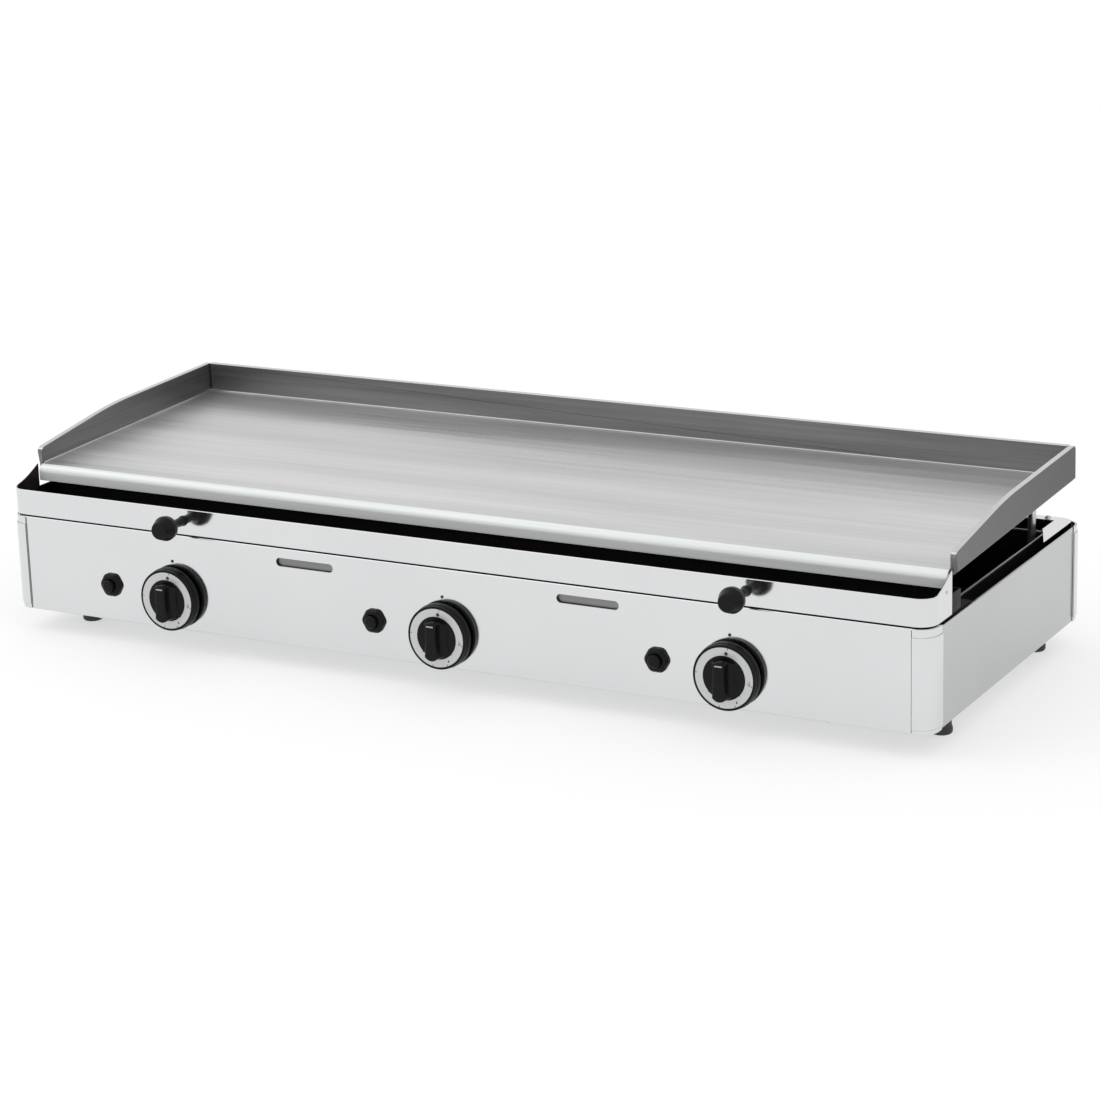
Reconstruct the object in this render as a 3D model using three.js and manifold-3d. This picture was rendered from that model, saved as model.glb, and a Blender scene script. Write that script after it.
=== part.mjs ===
// Flat top gas griddle: three burners, a sloping steel plate with splash guards on three
// sides, and a full-width grease drawer. Millimetres, +Z up, -Y is the front.
// The origin is on the bench, at the middle of the whole object's footprint.
import * as THREE from 'three';
import { mergeVertices } from 'three/addons/utils/BufferGeometryUtils.js';
import Module from 'manifold-3d';

// ---------------------------------------------------------------- driving dimensions
const WIDTH = 1000;            // body, side to side
const DEPTH = 390;             // body, front to back
const BODY_H = 98;             // body, without its feet
const FOOT_H = 24;
const FEET = [                 // across, behind the front
  ['front_left', -450, 58],
  ['front_right', 478, 80],
  ['rear_left', -450, 341],
  ['rear_right', 472, 341],
];
const SHEET = 1.2;             // body sheet metal
const CORNER_R = 17;           // body's upright corners
const PANEL_WRAP = 21;         // front and rear panels wrap this far round the sides
const GAP = 0.3;               // between pieces that touch
const HANDLE_REACH = 42;       // drawer handle, out from the body's front
const INLET_REACH = 22;        // gas inlet, out from the body's back

const PLATE_W = 1004;          // plate with its side guards
const PLATE_T = 5;
const PLATE_TILT = THREE.MathUtils.degToRad(1.7);
const PLATE_RUN = 321;         // nose to the back face of the back guard
const NOSE_SETBACK = 45;       // nose behind the body's front face
const NOSE_R = 12;
const NOSE_DROP = 16;
const PLATE_NOSE_H = 139;      // plate's top over the body's bottom, at the nose
const GUARD_T = 6;
const GUARD_FRONT = 8;         // side guards start this far behind the nose
const GUARD_H = 30.5;          // over the plate
const GUARD_FRONT_H = 16;

const KNOB_X = [-303.5, 5.5, 305.5];
const KNOB_H = 33.4;           // knob axis over the body's bottom
const KNOB_R = 32.2;
const KNOB_FACE = 13.5;        // dial face, out from the body's front
const KNOB_REACH = 25.5;       // grip, out from the body's front
const SPINDLE_R = 4;
const IGNITER_X = [-379, -71, 232];
const IGNITER_H = 37.5;
const SLOT_X = [-148, 161];    // sight slots
const SLOT_H = 84;
const SLOT_LONG = 65;
const SLOT_TALL = 8.6;
const BURNER_X = [-318, 0, 318];
const BURNER_H = 62;
const MANIFOLD_H = 14;
const MANIFOLD_Y = 20;
const INLET_X = 436;

const DRAWER_H0 = 99.5;        // bottom of the drawer's front
const DRAWER_FRONT_TALL = 26;
const DRAWER_EAR_TALL = 41;
const DRAWER_WRAP = 48;        // drawer's front wraps this far round the sides
const DRAWER_T = 1.5;
const PAN_INSET = 2;
const PAN_REACH = 74;          // back of the pan, behind the body's front
const PAN_H0 = 98.8;           // pan's bottom, just over the runners
const PAN_TALL = 18;
const HANDLE_X = [-288, 322];
const HANDLE_H = 113.5;

const BOX_W = 950;             // burner box
const BOX_Y0 = 58;
const BOX_Y1 = 362;
const BOX_H0 = 26;
const BOX_H1 = 90;
const LEG_X = 464;
const LEG_Y = [90, 350];
const RAIL_H = 74;             // top of the rails that the plate's legs stand on

// ---------------------------------------------------------------- frame helpers
const FRONT = HANDLE_REACH - (HANDLE_REACH + DEPTH + INLET_REACH) / 2;
const yAt = (behindFront) => FRONT + behindFront;
const zAt = (overBottom) => FOOT_H + overBottom;

const wasm = await Module();
wasm.setup();

const group = new THREE.Group();

const finishes = {
  polished: { color: 0xd6dada, roughness: 0.14, metalness: 1 },
  brushed: { color: 0xc3c3c4, roughness: 0.32, metalness: 1 },
  guard: { color: 0x77787a, roughness: 0.38, metalness: 1 },
  galvanised: { color: 0x8f9394, roughness: 0.5, metalness: 1 },
  burnt: { color: 0x2b2926, roughness: 0.6, metalness: 0.6 },
  iron: { color: 0x4a4a4c, roughness: 0.7, metalness: 0.8 },
  brass: { color: 0xb5914f, roughness: 0.35, metalness: 1 },
  black: { color: 0x121213, roughness: 0.25, metalness: 0 },
  rubber: { color: 0x1b1b1c, roughness: 0.8, metalness: 0 },
  dial: { color: 0xbfc1c2, roughness: 0.4, metalness: 0.9 },
};

function add(name, shape, finish, parent = group) {
  const geometry = shape.isBufferGeometry ? shape : toGeometry(shape);
  const mesh = new THREE.Mesh(geometry, new THREE.MeshStandardMaterial(finishes[finish]));
  mesh.name = name;
  parent.add(mesh);
}

function solid(geometry) {
  const bare = geometry.clone();
  for (const key of ['normal', 'uv']) bare.deleteAttribute(key);
  const merged = mergeVertices(bare, 1e-4);
  const mesh = new wasm.Mesh({
    numProp: 3,
    vertProperties: new Float32Array(merged.attributes.position.array),
    triVerts: new Uint32Array(merged.index.array),
  });
  return new wasm.Manifold(mesh);
}

function toGeometry(manifold) {
  const mesh = manifold.getMesh();
  const geometry = new THREE.BufferGeometry();
  geometry.setAttribute('position', new THREE.BufferAttribute(mesh.vertProperties, 3));
  geometry.setIndex(new THREE.BufferAttribute(mesh.triVerts, 1));
  return geometry;
}

const join = (...pieces) => pieces.map(solid).reduce((a, b) => a.add(b));
const cut = (piece, ...tools) => tools.map(solid).reduce((a, b) => a.subtract(b), piece);

// ---------------------------------------------------------------- plain shapes
function box(x0, x1, y0, y1, z0, z1) {
  const geometry = new THREE.BoxGeometry(x1 - x0, y1 - y0, z1 - z0);
  return geometry.translate((x0 + x1) / 2, (y0 + y1) / 2, (z0 + z1) / 2);
}

function prismZ(shape, z0, z1, curveSegments = 8) {
  const settings = { depth: z1 - z0, bevelEnabled: false, curveSegments };
  return new THREE.ExtrudeGeometry(shape, settings).translate(0, 0, z0);
}

// A shape drawn in Y and Z, run along X.
function prismX(shape, x0, x1, curveSegments = 8) {
  const geometry = prismZ(shape, x0, x1, curveSegments);
  const turn = new THREE.Matrix4().set(0, 0, 1, 0, 1, 0, 0, 0, 0, 1, 0, 0, 0, 0, 0, 1);
  return geometry.applyMatrix4(turn);
}

// A shape drawn in X and Z, run along Y.
function prismY(shape, y0, y1, curveSegments = 8) {
  return prismZ(shape, -y1, -y0, curveSegments).rotateX(Math.PI / 2);
}

function outline(points) {
  return new THREE.Shape(points.map(([a, b]) => new THREE.Vector2(a, b)));
}

function rodY(x, z, radius, y0, y1, sides = 14) {
  const geometry = new THREE.CylinderGeometry(radius, radius, y1 - y0, sides);
  return geometry.translate(x, (y0 + y1) / 2, z);
}

function rodX(y, z, radius, x0, x1, sides = 12) {
  const geometry = new THREE.CylinderGeometry(radius, radius, x1 - x0, sides);
  return geometry.rotateZ(Math.PI / 2).translate((x0 + x1) / 2, y, z);
}

function rodZ(x, y, radius, z0, z1, sides = 12) {
  const geometry = new THREE.CylinderGeometry(radius, radius, z1 - z0, sides);
  return geometry.rotateX(Math.PI / 2).translate(x, y, (z0 + z1) / 2);
}

// A profile of [radius, distance forwards] pairs, turned about an axis along -Y.
function turnedForward(profile, x, y, z, sides = 32) {
  const points = profile.map(([radius, reach]) => new THREE.Vector2(radius, reach));
  return new THREE.LatheGeometry(points, sides).rotateX(Math.PI).translate(x, y, z);
}

function stadium(x, z, long, tall) {
  const shape = new THREE.Shape();
  const half = long / 2 - tall / 2;
  shape.absarc(x - half, z, tall / 2, Math.PI / 2, Math.PI * 1.5, false);
  shape.absarc(x + half, z, tall / 2, -Math.PI / 2, Math.PI / 2, false);
  shape.closePath();
  return shape;
}

function pipe(points, radius, bend) {
  const path = new THREE.CurvePath();
  const corners = points.map((p) => new THREE.Vector3(...p));
  let from = corners[0];
  for (let i = 1; i < corners.length - 1; i += 1) {
    const before = corners[i].clone().sub(corners[i - 1]).setLength(bend);
    const after = corners[i + 1].clone().sub(corners[i]).setLength(bend);
    const start = corners[i].clone().sub(before);
    const end = corners[i].clone().add(after);
    path.add(new THREE.LineCurve3(from, start));
    path.add(new THREE.QuadraticBezierCurve3(start, corners[i], end));
    from = end;
  }
  path.add(new THREE.LineCurve3(from, corners[corners.length - 1]));
  const section = new THREE.Shape().absarc(0, 0, radius, 0, Math.PI * 2, false);
  return new THREE.ExtrudeGeometry(section, {
    extrudePath: path, steps: 22, curveSegments: 4, bevelEnabled: false,
  });
}

// ---------------------------------------------------------------- body
// Plan of the body's front end, inset all round, with its front corners rounded.
function frontPlan(inset, reach) {
  const half = WIDTH / 2 - inset;
  const radius = CORNER_R - inset;
  const y0 = yAt(inset) + radius;
  const shape = new THREE.Shape();
  shape.moveTo(-half, yAt(reach));
  shape.lineTo(-half, y0);
  shape.absarc(-half + radius, y0, radius, Math.PI, Math.PI * 1.5, false);
  shape.absarc(half - radius, y0, radius, -Math.PI / 2, 0, false);
  shape.lineTo(half, yAt(reach));
  shape.closePath();
  return shape;
}

// Turns a piece made for the front end for end, so that it fits the back.
const toBack = (geometry) => geometry.rotateZ(Math.PI).translate(0, 2 * FRONT + DEPTH, 0);

function makeFrontPanel() {
  const panel = prismZ(frontPlan(0, PANEL_WRAP), zAt(0), zAt(BODY_H));
  const hollow = prismZ(frontPlan(SHEET, 2 * PANEL_WRAP), zAt(SHEET), zAt(BODY_H - SHEET));
  const through = [FRONT - 5, FRONT + 5];
  const holes = [
    ...KNOB_X.map((x) => rodY(x, zAt(KNOB_H), 7, ...through)),
    ...IGNITER_X.map((x) => rodY(x, zAt(IGNITER_H), 9, ...through)),
    ...SLOT_X.map((x) => prismY(stadium(x, zAt(SLOT_H), SLOT_LONG, SLOT_TALL), ...through, 6)),
  ];
  add('front_panel', cut(solid(panel), hollow, ...holes), 'polished');
}

function makeRearPanel() {
  const panel = prismZ(frontPlan(0, PANEL_WRAP), zAt(0), zAt(BODY_H - SHEET - GAP));
  const hollow = prismZ(frontPlan(SHEET, 2 * PANEL_WRAP), zAt(SHEET), zAt(BODY_H + 9));
  const vents = [];
  for (let i = -4; i <= 4; i += 1) {
    const vent = prismY(stadium(0, 0, 40, 8), -5, 5, 2);
    vents.push(vent.rotateY(Math.PI / 2).translate(i * 70, FRONT, zAt(60)));
  }
  const inlet = rodY(-INLET_X, zAt(MANIFOLD_H), 12, FRONT - 5, FRONT + 5);
  add('rear_panel', toBack(toGeometry(cut(solid(panel), hollow, inlet, ...vents))), 'polished');
}

function makeSidePanels() {
  for (const [side, name] of [[-1, 'side_panel_left'], [1, 'side_panel_right']]) {
    const outer = WIDTH / 2;
    const profile = outline([
      [outer, zAt(0)], [outer, zAt(BODY_H - 2.5)],
      [outer - 2 * SHEET, zAt(BODY_H - 2.5)], [outer - 2 * SHEET, zAt(BODY_H - 11)],
      [outer - SHEET, zAt(BODY_H - 11)], [outer - SHEET, zAt(SHEET)],
      [outer - 14, zAt(SHEET)], [outer - 14, zAt(0)],
    ]);
    const panel = prismY(profile, yAt(PANEL_WRAP + GAP), yAt(DEPTH - PANEL_WRAP - GAP));
    add(name, side > 0 ? panel : panel.rotateZ(Math.PI).translate(0, 2 * FRONT + DEPTH, 0),
      'polished');
  }
}

function makeCornerTrims() {
  const centre = WIDTH / 2 - CORNER_R;
  const inner = CORNER_R + GAP;
  const outer = inner + 1;
  const shape = new THREE.Shape();
  const y0 = FRONT + CORNER_R;
  shape.moveTo(centre - 1, y0 - outer);
  shape.lineTo(centre, y0 - outer);
  shape.absarc(centre, y0, outer, -Math.PI / 2, 0, false);
  shape.lineTo(centre + outer, y0 + 6);
  shape.lineTo(centre + inner, y0 + 6);
  shape.absarc(centre, y0, inner, 0, -Math.PI / 2, true);
  shape.lineTo(centre - 1, y0 - inner);
  shape.closePath();
  const trim = () => prismZ(shape, zAt(5), zAt(BODY_H - 8), 10);
  const mirrorX = new THREE.Matrix4().makeScale(-1, 1, 1);
  const flip = (geometry) => toGeometry(solid(geometry).transform(mirrorX.elements));
  add('corner_trim_front_right', trim(), 'polished');
  add('corner_trim_front_left', flip(trim()), 'polished');
  add('corner_trim_rear_left', toBack(trim()), 'polished');
  add('corner_trim_rear_right', toBack(flip(trim())), 'polished');
}

// Rim round the open back of the body: a strip along the back with a tapered return
// down each side, screwed to the rear panel.
function makeTopRim() {
  const x1 = WIDTH / 2 - 6;
  const inset = 17;
  const back = DEPTH - 0.5;
  const shape = new THREE.Shape();
  const radius = CORNER_R - 3;
  shape.moveTo(x1, yAt(300));
  shape.lineTo(x1, yAt(back - radius));
  shape.absarc(x1 - radius, yAt(back - radius), radius, 0, Math.PI / 2, false);
  shape.absarc(-x1 + radius, yAt(back - radius), radius, Math.PI / 2, Math.PI, false);
  shape.lineTo(-x1, yAt(300));
  shape.lineTo(-x1 + inset - 3, yAt(337));
  shape.lineTo(-x1 + inset, yAt(344));
  shape.lineTo(-x1 + inset, yAt(DEPTH - 13));
  shape.lineTo(x1 - inset, yAt(DEPTH - 13));
  shape.lineTo(x1 - inset, yAt(344));
  shape.lineTo(x1 - inset + 3, yAt(337));
  shape.closePath();
  for (const x of [-468, -234, 0, 234, 468]) {
    const hole = new THREE.Path();
    hole.absarc(x, yAt(DEPTH - 6.5), 2.2, 0, Math.PI * 2, true);
    shape.holes.push(hole);
  }
  add('rear_top_rim', prismZ(shape, zAt(BODY_H - SHEET), zAt(BODY_H)), 'polished');
}

function makeBasePan() {
  const pan = (inset, z0, z1) => {
    const half = WIDTH / 2 - inset;
    const radius = CORNER_R - inset;
    const shape = new THREE.Shape();
    const y0 = yAt(inset) + radius;
    const y1 = yAt(DEPTH - inset) - radius;
    shape.absarc(half - radius, y0, radius, -Math.PI / 2, 0, false);
    shape.absarc(half - radius, y1, radius, 0, Math.PI / 2, false);
    shape.absarc(-half + radius, y1, radius, Math.PI / 2, Math.PI, false);
    shape.absarc(-half + radius, y0, radius, Math.PI, Math.PI * 1.5, false);
    shape.closePath();
    return prismZ(shape, z0, z1, 5);
  };
  const low = SHEET + GAP;
  const hollow = pan(3 + SHEET, zAt(low + SHEET), zAt(30));
  const slots = [];
  for (const i of [-1.5, 0, 1.5]) {
    for (const y of [130, 290]) {
      const slot = prismZ(stadium(0, 0, 110, 14), zAt(-5), zAt(10), 2);
      slots.push(slot.translate(i * 200, yAt(y), 0));
    }
  }
  const inlet = box(INLET_X - 13, INLET_X + 13, yAt(DEPTH - 8), yAt(DEPTH), zAt(low + SHEET),
    zAt(30));
  add('base_pan', cut(solid(pan(3, zAt(low), zAt(11))), hollow, inlet, ...slots), 'galvanised');
}

function makeFeet() {
  const profile = [[0, 0], [9, 0], [10.4, 1.5], [10.4, 6], [9.4, 14], [10.2, 20], [12, 23.7],
    [0, 23.7]].map(([r, z]) => new THREE.Vector2(r, z));
  for (const [corner, x, depth] of FEET) {
    const foot = new THREE.LatheGeometry(profile, 16).rotateX(Math.PI / 2);
    add(`foot_${corner}`, foot.translate(x, yAt(depth), 0), 'rubber');
  }
}

// ---------------------------------------------------------------- burners and gas
function makeBurnerBox() {
  const half = BOX_W / 2;
  const shell = solid(box(-half, half, yAt(BOX_Y0), yAt(BOX_Y1), zAt(BOX_H0), zAt(BOX_H1)));
  const room = box(-half + SHEET, half - SHEET, yAt(BOX_Y0 + SHEET), yAt(BOX_Y1 - SHEET),
    zAt(BOX_H0 + SHEET), zAt(BOX_H1 + 5));
  const through = [yAt(BOX_Y0 - 5), yAt(BOX_Y0 + 5)];
  const holes = KNOB_X.map((x) => rodY(x, zAt(BURNER_H), 15, ...through));
  for (const x of BURNER_X) {
    for (const dx of [-100, 100]) {
      holes.push(prismZ(stadium(x + dx, 0, 70, 12), zAt(BOX_H0 - 5), zAt(BOX_H0 + 5), 2)
        .translate(0, yAt(210), 0));
    }
  }
  add('burner_box', cut(shell, room, ...holes), 'burnt');
}

function makePlateRails() {
  for (const [side, name] of [[-1, 'plate_rail_left'], [1, 'plate_rail_right']]) {
    const wall = BOX_W / 2 - SHEET - GAP;
    const profile = outline([
      [side * wall, zAt(RAIL_H - 22)], [side * wall, zAt(RAIL_H)],
      [side * (wall - 20), zAt(RAIL_H)], [side * (wall - 20), zAt(RAIL_H - 2)],
      [side * (wall - 2), zAt(RAIL_H - 2)], [side * (wall - 2), zAt(RAIL_H - 22)],
    ]);
    add(name, prismY(profile, yAt(BOX_Y0 + 4), yAt(BOX_Y1 - 4)), 'iron');
  }
}

function makeBurners() {
  const names = ['left', 'centre', 'right'];
  BURNER_X.forEach((x, i) => {
    const z = zAt(BURNER_H);
    const mouth = turnedForward([[0, -6], [9, -6], [9, 6], [12.5, 14], [12.5, 17], [0, 17]],
      KNOB_X[i], yAt(BOX_Y0 - 3), z, 16);
    const burner = join(
      rodY(x - 60, z, 11, yAt(92), yAt(338)),
      rodY(x + 60, z, 11, yAt(92), yAt(338)),
      rodX(yAt(215), z, 10, x - 60, x + 60),
      rodY(KNOB_X[i], z, 9, yAt(BOX_Y0 - 2), yAt(215)),
      mouth,
    );
    add(`burner_${names[i]}`, burner, 'iron');
  });
}

function makeGasLine() {
  const names = ['left', 'centre', 'right'];
  const z = zAt(MANIFOLD_H);
  const y = yAt(MANIFOLD_Y);
  const side = WIDTH / 2 - 14;
  add('gas_manifold', pipe([
    [KNOB_X[0] - 26, y, z], [side, y, z], [side, yAt(DEPTH - 19), z],
    [INLET_X + 13, yAt(DEPTH - 19), z],
  ], 7, 16), 'galvanised');
  KNOB_X.forEach((x, i) => {
    const axis = zAt(KNOB_H);
    const valve = join(
      rodY(x, axis, 12, yAt(SHEET + GAP), yAt(30)),
      rodZ(x, y, 6, z + 7 + GAP, axis),
      rodZ(x, yAt(25), 5, axis, zAt(BURNER_H + 5)),
      rodY(x, zAt(BURNER_H), 4.2, yAt(24), yAt(37.5)),
    );
    const socket = rodY(x, axis, 5 + GAP, yAt(0), yAt(12));
    add(`gas_valve_${names[i]}`, cut(valve, socket), 'brass');
  });
  const tail = yAt(DEPTH - 19);
  const elbow = join(
    box(INLET_X - 11, INLET_X + 12.5, tail - 10, tail + 10, z - 10, z + 10),
    rodY(INLET_X, z, 9, tail, yAt(DEPTH + INLET_REACH)),
  );
  const bore = rodY(INLET_X, z, 5.5, tail, yAt(DEPTH + INLET_REACH + 1));
  add('gas_inlet', cut(elbow, bore), 'brass');
  const nut = prismY(hexagon(INLET_X, z, 15), yAt(DEPTH + GAP), yAt(DEPTH + 8));
  const thread = rodY(INLET_X, z, 9 + GAP, yAt(DEPTH - 1), yAt(DEPTH + 9));
  add('gas_inlet_nut', cut(solid(nut), thread), 'brass');
}

function hexagon(x, z, radius) {
  const points = [];
  for (let i = 0; i < 6; i += 1) {
    const angle = (i / 6) * Math.PI * 2;
    points.push([x + radius * Math.cos(angle), z + radius * Math.sin(angle)]);
  }
  return outline(points);
}

// Flame sensor and spark electrode, on a bracket behind the burner box's front wall.
function makePilots() {
  const names = ['left', 'centre', 'right'];
  const wall = BOX_Y0 + SHEET + GAP;
  BURNER_X.forEach((x, i) => {
    const left = x - 96;
    const pilot = join(
      box(left - 14, left + 14, yAt(wall), yAt(wall + 2), zAt(50), zAt(70)),
      box(left - 14, left + 14, yAt(wall), yAt(wall + 16), zAt(50), zAt(52)),
      rodZ(left - 6, yAt(wall + 10), 3, zAt(46), zAt(62), 8),
      rodZ(left - 6, yAt(wall + 10), 1.4, zAt(60), zAt(74), 6),
      rodZ(left + 6, yAt(wall + 10), 2.4, zAt(44), zAt(72), 8),
    );
    add(`pilot_${names[i]}`, pilot, 'galvanised');
  });
}

// ---------------------------------------------------------------- controls
function makeIgniters() {
  const names = ['left', 'centre', 'right'];
  const z = zAt(IGNITER_H);
  IGNITER_X.forEach((x, i) => {
    const body = join(
      prismY(hexagon(x, z, 12.6), yAt(-5), yAt(-GAP)),
      rodY(x, z, 8.7, yAt(-1), yAt(44)),
      rodY(x, z, 12, yAt(SHEET + GAP), yAt(6)),
    );
    const bore = rodY(x, z, 6.5 + GAP, yAt(-6), yAt(16));
    add(`igniter_body_${names[i]}`, cut(body, bore), 'black');
    const button = turnedForward([[0, -4], [6.5, -4], [6.5, 9.4], [5.2, 10.6], [0, 10.6]],
      x, yAt(0), z, 16);
    add(`igniter_button_${names[i]}`, button, 'black');
  });
}

// Plan of a knob's grip: a bar that is narrower in the middle.
function gripPlan() {
  const shape = new THREE.Shape();
  shape.moveTo(-7, -16);
  shape.quadraticCurveTo(0, -22, 7, -16);
  shape.quadraticCurveTo(4.6, 0, 6, 16);
  shape.quadraticCurveTo(0, 20, -6, 16);
  shape.quadraticCurveTo(-4.6, 0, -7, -16);
  return shape;
}

function makeKnobs() {
  const names = ['left', 'centre', 'right'];
  const z = zAt(KNOB_H);
  const face = KNOB_FACE;
  KNOB_X.forEach((x, i) => {
    const dish = turnedForward([
      [0, 3], [KNOB_R - 1, 3], [KNOB_R, 4.2], [KNOB_R, 6], [KNOB_R - 0.8, face - 1],
      [KNOB_R - 1.6, face], [29, face], [29, face - 0.8], [21, face - 0.8], [21, face], [0, face],
    ], x, FRONT, z, 24);
    const grip = prismY(gripPlan(), -KNOB_REACH, 1 - face, 4);
    const seat = rodY(x, z, SPINDLE_R + GAP, yAt(4 - face), yAt(0));
    const knob = solid(dish).add(solid(grip.translate(x, FRONT, z)));
    add(`knob_${names[i]}`, cut(knob, seat), 'black');
    const ring = turnedForward([
      [21.4, face - 0.5], [28.6, face - 0.5], [28.6, face + 0.3], [21.4, face + 0.3],
      [21.4, face - 0.5],
    ], x, FRONT, z, 24);
    add(`dial_ring_${names[i]}`, ring, 'dial');
    add(`valve_spindle_${names[i]}`, rodY(x, z, SPINDLE_R, yAt(4 + GAP - face), yAt(5), 12),
      'brass');
  });
}

// ---------------------------------------------------------------- grease drawer
function makeDrawer() {
  const top = DRAWER_H0 + DRAWER_EAR_TALL;
  const front = prismZ(frontPlan(0, DRAWER_WRAP), zAt(DRAWER_H0), zAt(top));
  const behind = prismZ(frontPlan(DRAWER_T, 2 * DRAWER_WRAP), zAt(DRAWER_H0 - 9), zAt(top + 9));
  const edge = DRAWER_H0 + DRAWER_FRONT_TALL;
  const above = new THREE.Shape();
  above.moveTo(yAt(-5), zAt(edge));
  above.lineTo(yAt(9), zAt(edge));
  above.quadraticCurveTo(yAt(25), zAt(edge + 1.5), yAt(DRAWER_WRAP + 1), zAt(edge + 14.8));
  above.lineTo(yAt(DRAWER_WRAP + 1), zAt(edge + 30));
  above.lineTo(yAt(-5), zAt(edge + 30));
  above.closePath();
  const room = prismX(above, -WIDTH, WIDTH, 12);
  add('drawer_front', cut(solid(front), behind, room), 'polished');

  const inside = PAN_INSET + SHEET;
  const shell = prismZ(frontPlan(PAN_INSET, PAN_REACH), zAt(PAN_H0), zAt(PAN_H0 + PAN_TALL + 4), 5);
  const well = prismZ(frontPlan(inside, PAN_REACH - SHEET), zAt(PAN_H0 + SHEET), zAt(PAN_H0 + 50),
    5);
  const low = box(-WIDTH, WIDTH, yAt(CORNER_R + 2), yAt(PAN_REACH + 9), zAt(PAN_H0 + PAN_TALL),
    zAt(PAN_H0 + 50));
  add('grease_pan', cut(solid(shell), well, low), 'burnt');

  ['left', 'right'].forEach((end, i) => {
    const handle = turnedForward([
      [0, 0.3], [6, 0.3], [6, 2], [3.6, 4], [3.4, 17], [5, 20], [9.4, 22.6], [11.6, 26.5],
      [12, 30], [11.4, 34.5], [9.2, 38.6], [7.6, 40], [7.2, HANDLE_REACH], [0, HANDLE_REACH],
    ], HANDLE_X[i], FRONT, zAt(HANDLE_H), 16);
    add(`drawer_handle_${end}`, handle, 'black');
  });
  for (const [side, name] of [[-1, 'drawer_runner_left'], [1, 'drawer_runner_right']]) {
    const x = side * (WIDTH / 2 - SHEET * 2 - 1);
    const profile = outline([
      [x, zAt(BODY_H - 14)], [x, zAt(BODY_H - SHEET)], [x - side * 18, zAt(BODY_H - SHEET)],
      [x - side * 18, zAt(BODY_H - 2 * SHEET)], [x - side * SHEET, zAt(BODY_H - 2 * SHEET)],
      [x - side * SHEET, zAt(BODY_H - 14)],
    ]);
    add(name, prismY(profile, yAt(24), yAt(104)), 'galvanised');
  }
}

// ---------------------------------------------------------------- plate and guards
// The plate's own frame: y back from the nose, z up from the plate's top face.
const plate = new THREE.Group();
plate.position.set(0, yAt(NOSE_SETBACK), zAt(PLATE_NOSE_H));
plate.rotation.x = PLATE_TILT;
group.add(plate);

function makePlate() {
  const end = PLATE_RUN - GUARD_T - GAP;
  const inner = NOSE_R - PLATE_T;
  const profile = new THREE.Shape();
  profile.moveTo(end, 0);
  profile.lineTo(end, -PLATE_T);
  profile.absarc(NOSE_R, -NOSE_R, inner, Math.PI / 2, Math.PI, false);
  profile.lineTo(PLATE_T, -NOSE_DROP);
  profile.lineTo(0, -NOSE_DROP);
  profile.absarc(NOSE_R, -NOSE_R, NOSE_R, Math.PI, Math.PI / 2, true);
  profile.closePath();
  const half = PLATE_W / 2 - GUARD_T - GAP;
  add('griddle_plate', prismX(profile, -half, half, 8), 'brushed', plate);
}

function sideGuardOutline() {
  const y0 = GUARD_FRONT;
  const y1 = PLATE_RUN;
  const shape = new THREE.Shape();
  shape.moveTo(y0, -PLATE_T);
  shape.lineTo(y0, GUARD_FRONT_H - 5);
  shape.quadraticCurveTo(y0, GUARD_FRONT_H, y0 + 5, GUARD_FRONT_H + 0.8);
  shape.lineTo(100, 26.6);
  shape.quadraticCurveTo(134, GUARD_H, 166, GUARD_H);
  shape.lineTo(y1 - 5, GUARD_H);
  shape.quadraticCurveTo(y1, GUARD_H, y1, GUARD_H - 5);
  shape.lineTo(y1, -PLATE_T + 5);
  shape.quadraticCurveTo(y1, -PLATE_T, y1 - 5, -PLATE_T);
  shape.closePath();
  return shape;
}

// Across its thickness a side guard has a rounded lower outer edge.
function guardSection() {
  const outer = PLATE_W / 2;
  const radius = 4;
  const shape = new THREE.Shape();
  shape.moveTo(outer - GUARD_T, 60);
  shape.lineTo(outer - GUARD_T, -PLATE_T);
  shape.absarc(outer - radius, -PLATE_T + radius, radius, -Math.PI / 2, 0, false);
  shape.lineTo(outer, 60);
  shape.closePath();
  return shape;
}

function makeGuards() {
  const half = PLATE_W / 2;
  const blank = solid(prismX(sideGuardOutline(), half - GUARD_T, half, 8));
  const right = blank.intersect(solid(prismY(guardSection(), -10, PLATE_RUN + 10, 6)));
  add('side_guard_right', right, 'guard', plate);
  const mirrorX = new THREE.Matrix4().makeScale(-1, 1, 1);
  add('side_guard_left', right.transform(mirrorX.elements), 'guard', plate);
  const inside = half - GUARD_T - GAP;
  add('back_guard', box(-inside, inside, PLATE_RUN - GUARD_T, PLATE_RUN, -PLATE_T, GUARD_H),
    'guard', plate);
}

// Height of the plate's underside over the body's bottom.
function undersideAt(behindFront) {
  const run = behindFront - NOSE_SETBACK;
  return PLATE_NOSE_H - PLATE_T / Math.cos(PLATE_TILT) + run * Math.tan(PLATE_TILT);
}

function makePlateLegs() {
  const radius = 4;
  LEG_Y.forEach((depth, i) => {
    const top = undersideAt(depth - radius) - GAP;
    for (const [side, end] of [[-1, 'left'], [1, 'right']]) {
      const profile = [[0, RAIL_H + GAP], [2, RAIL_H + GAP], [radius, RAIL_H + 7], [radius, top],
        [0, top]].map(([r, h]) => new THREE.Vector2(r, zAt(h)));
      const leg = new THREE.LatheGeometry(profile, 14).rotateX(Math.PI / 2);
      const row = i === 0 ? 'front' : 'rear';
      add(`plate_leg_${row}_${end}`, leg.translate(side * LEG_X, yAt(depth), 0), 'guard');
    }
  });
}

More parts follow.
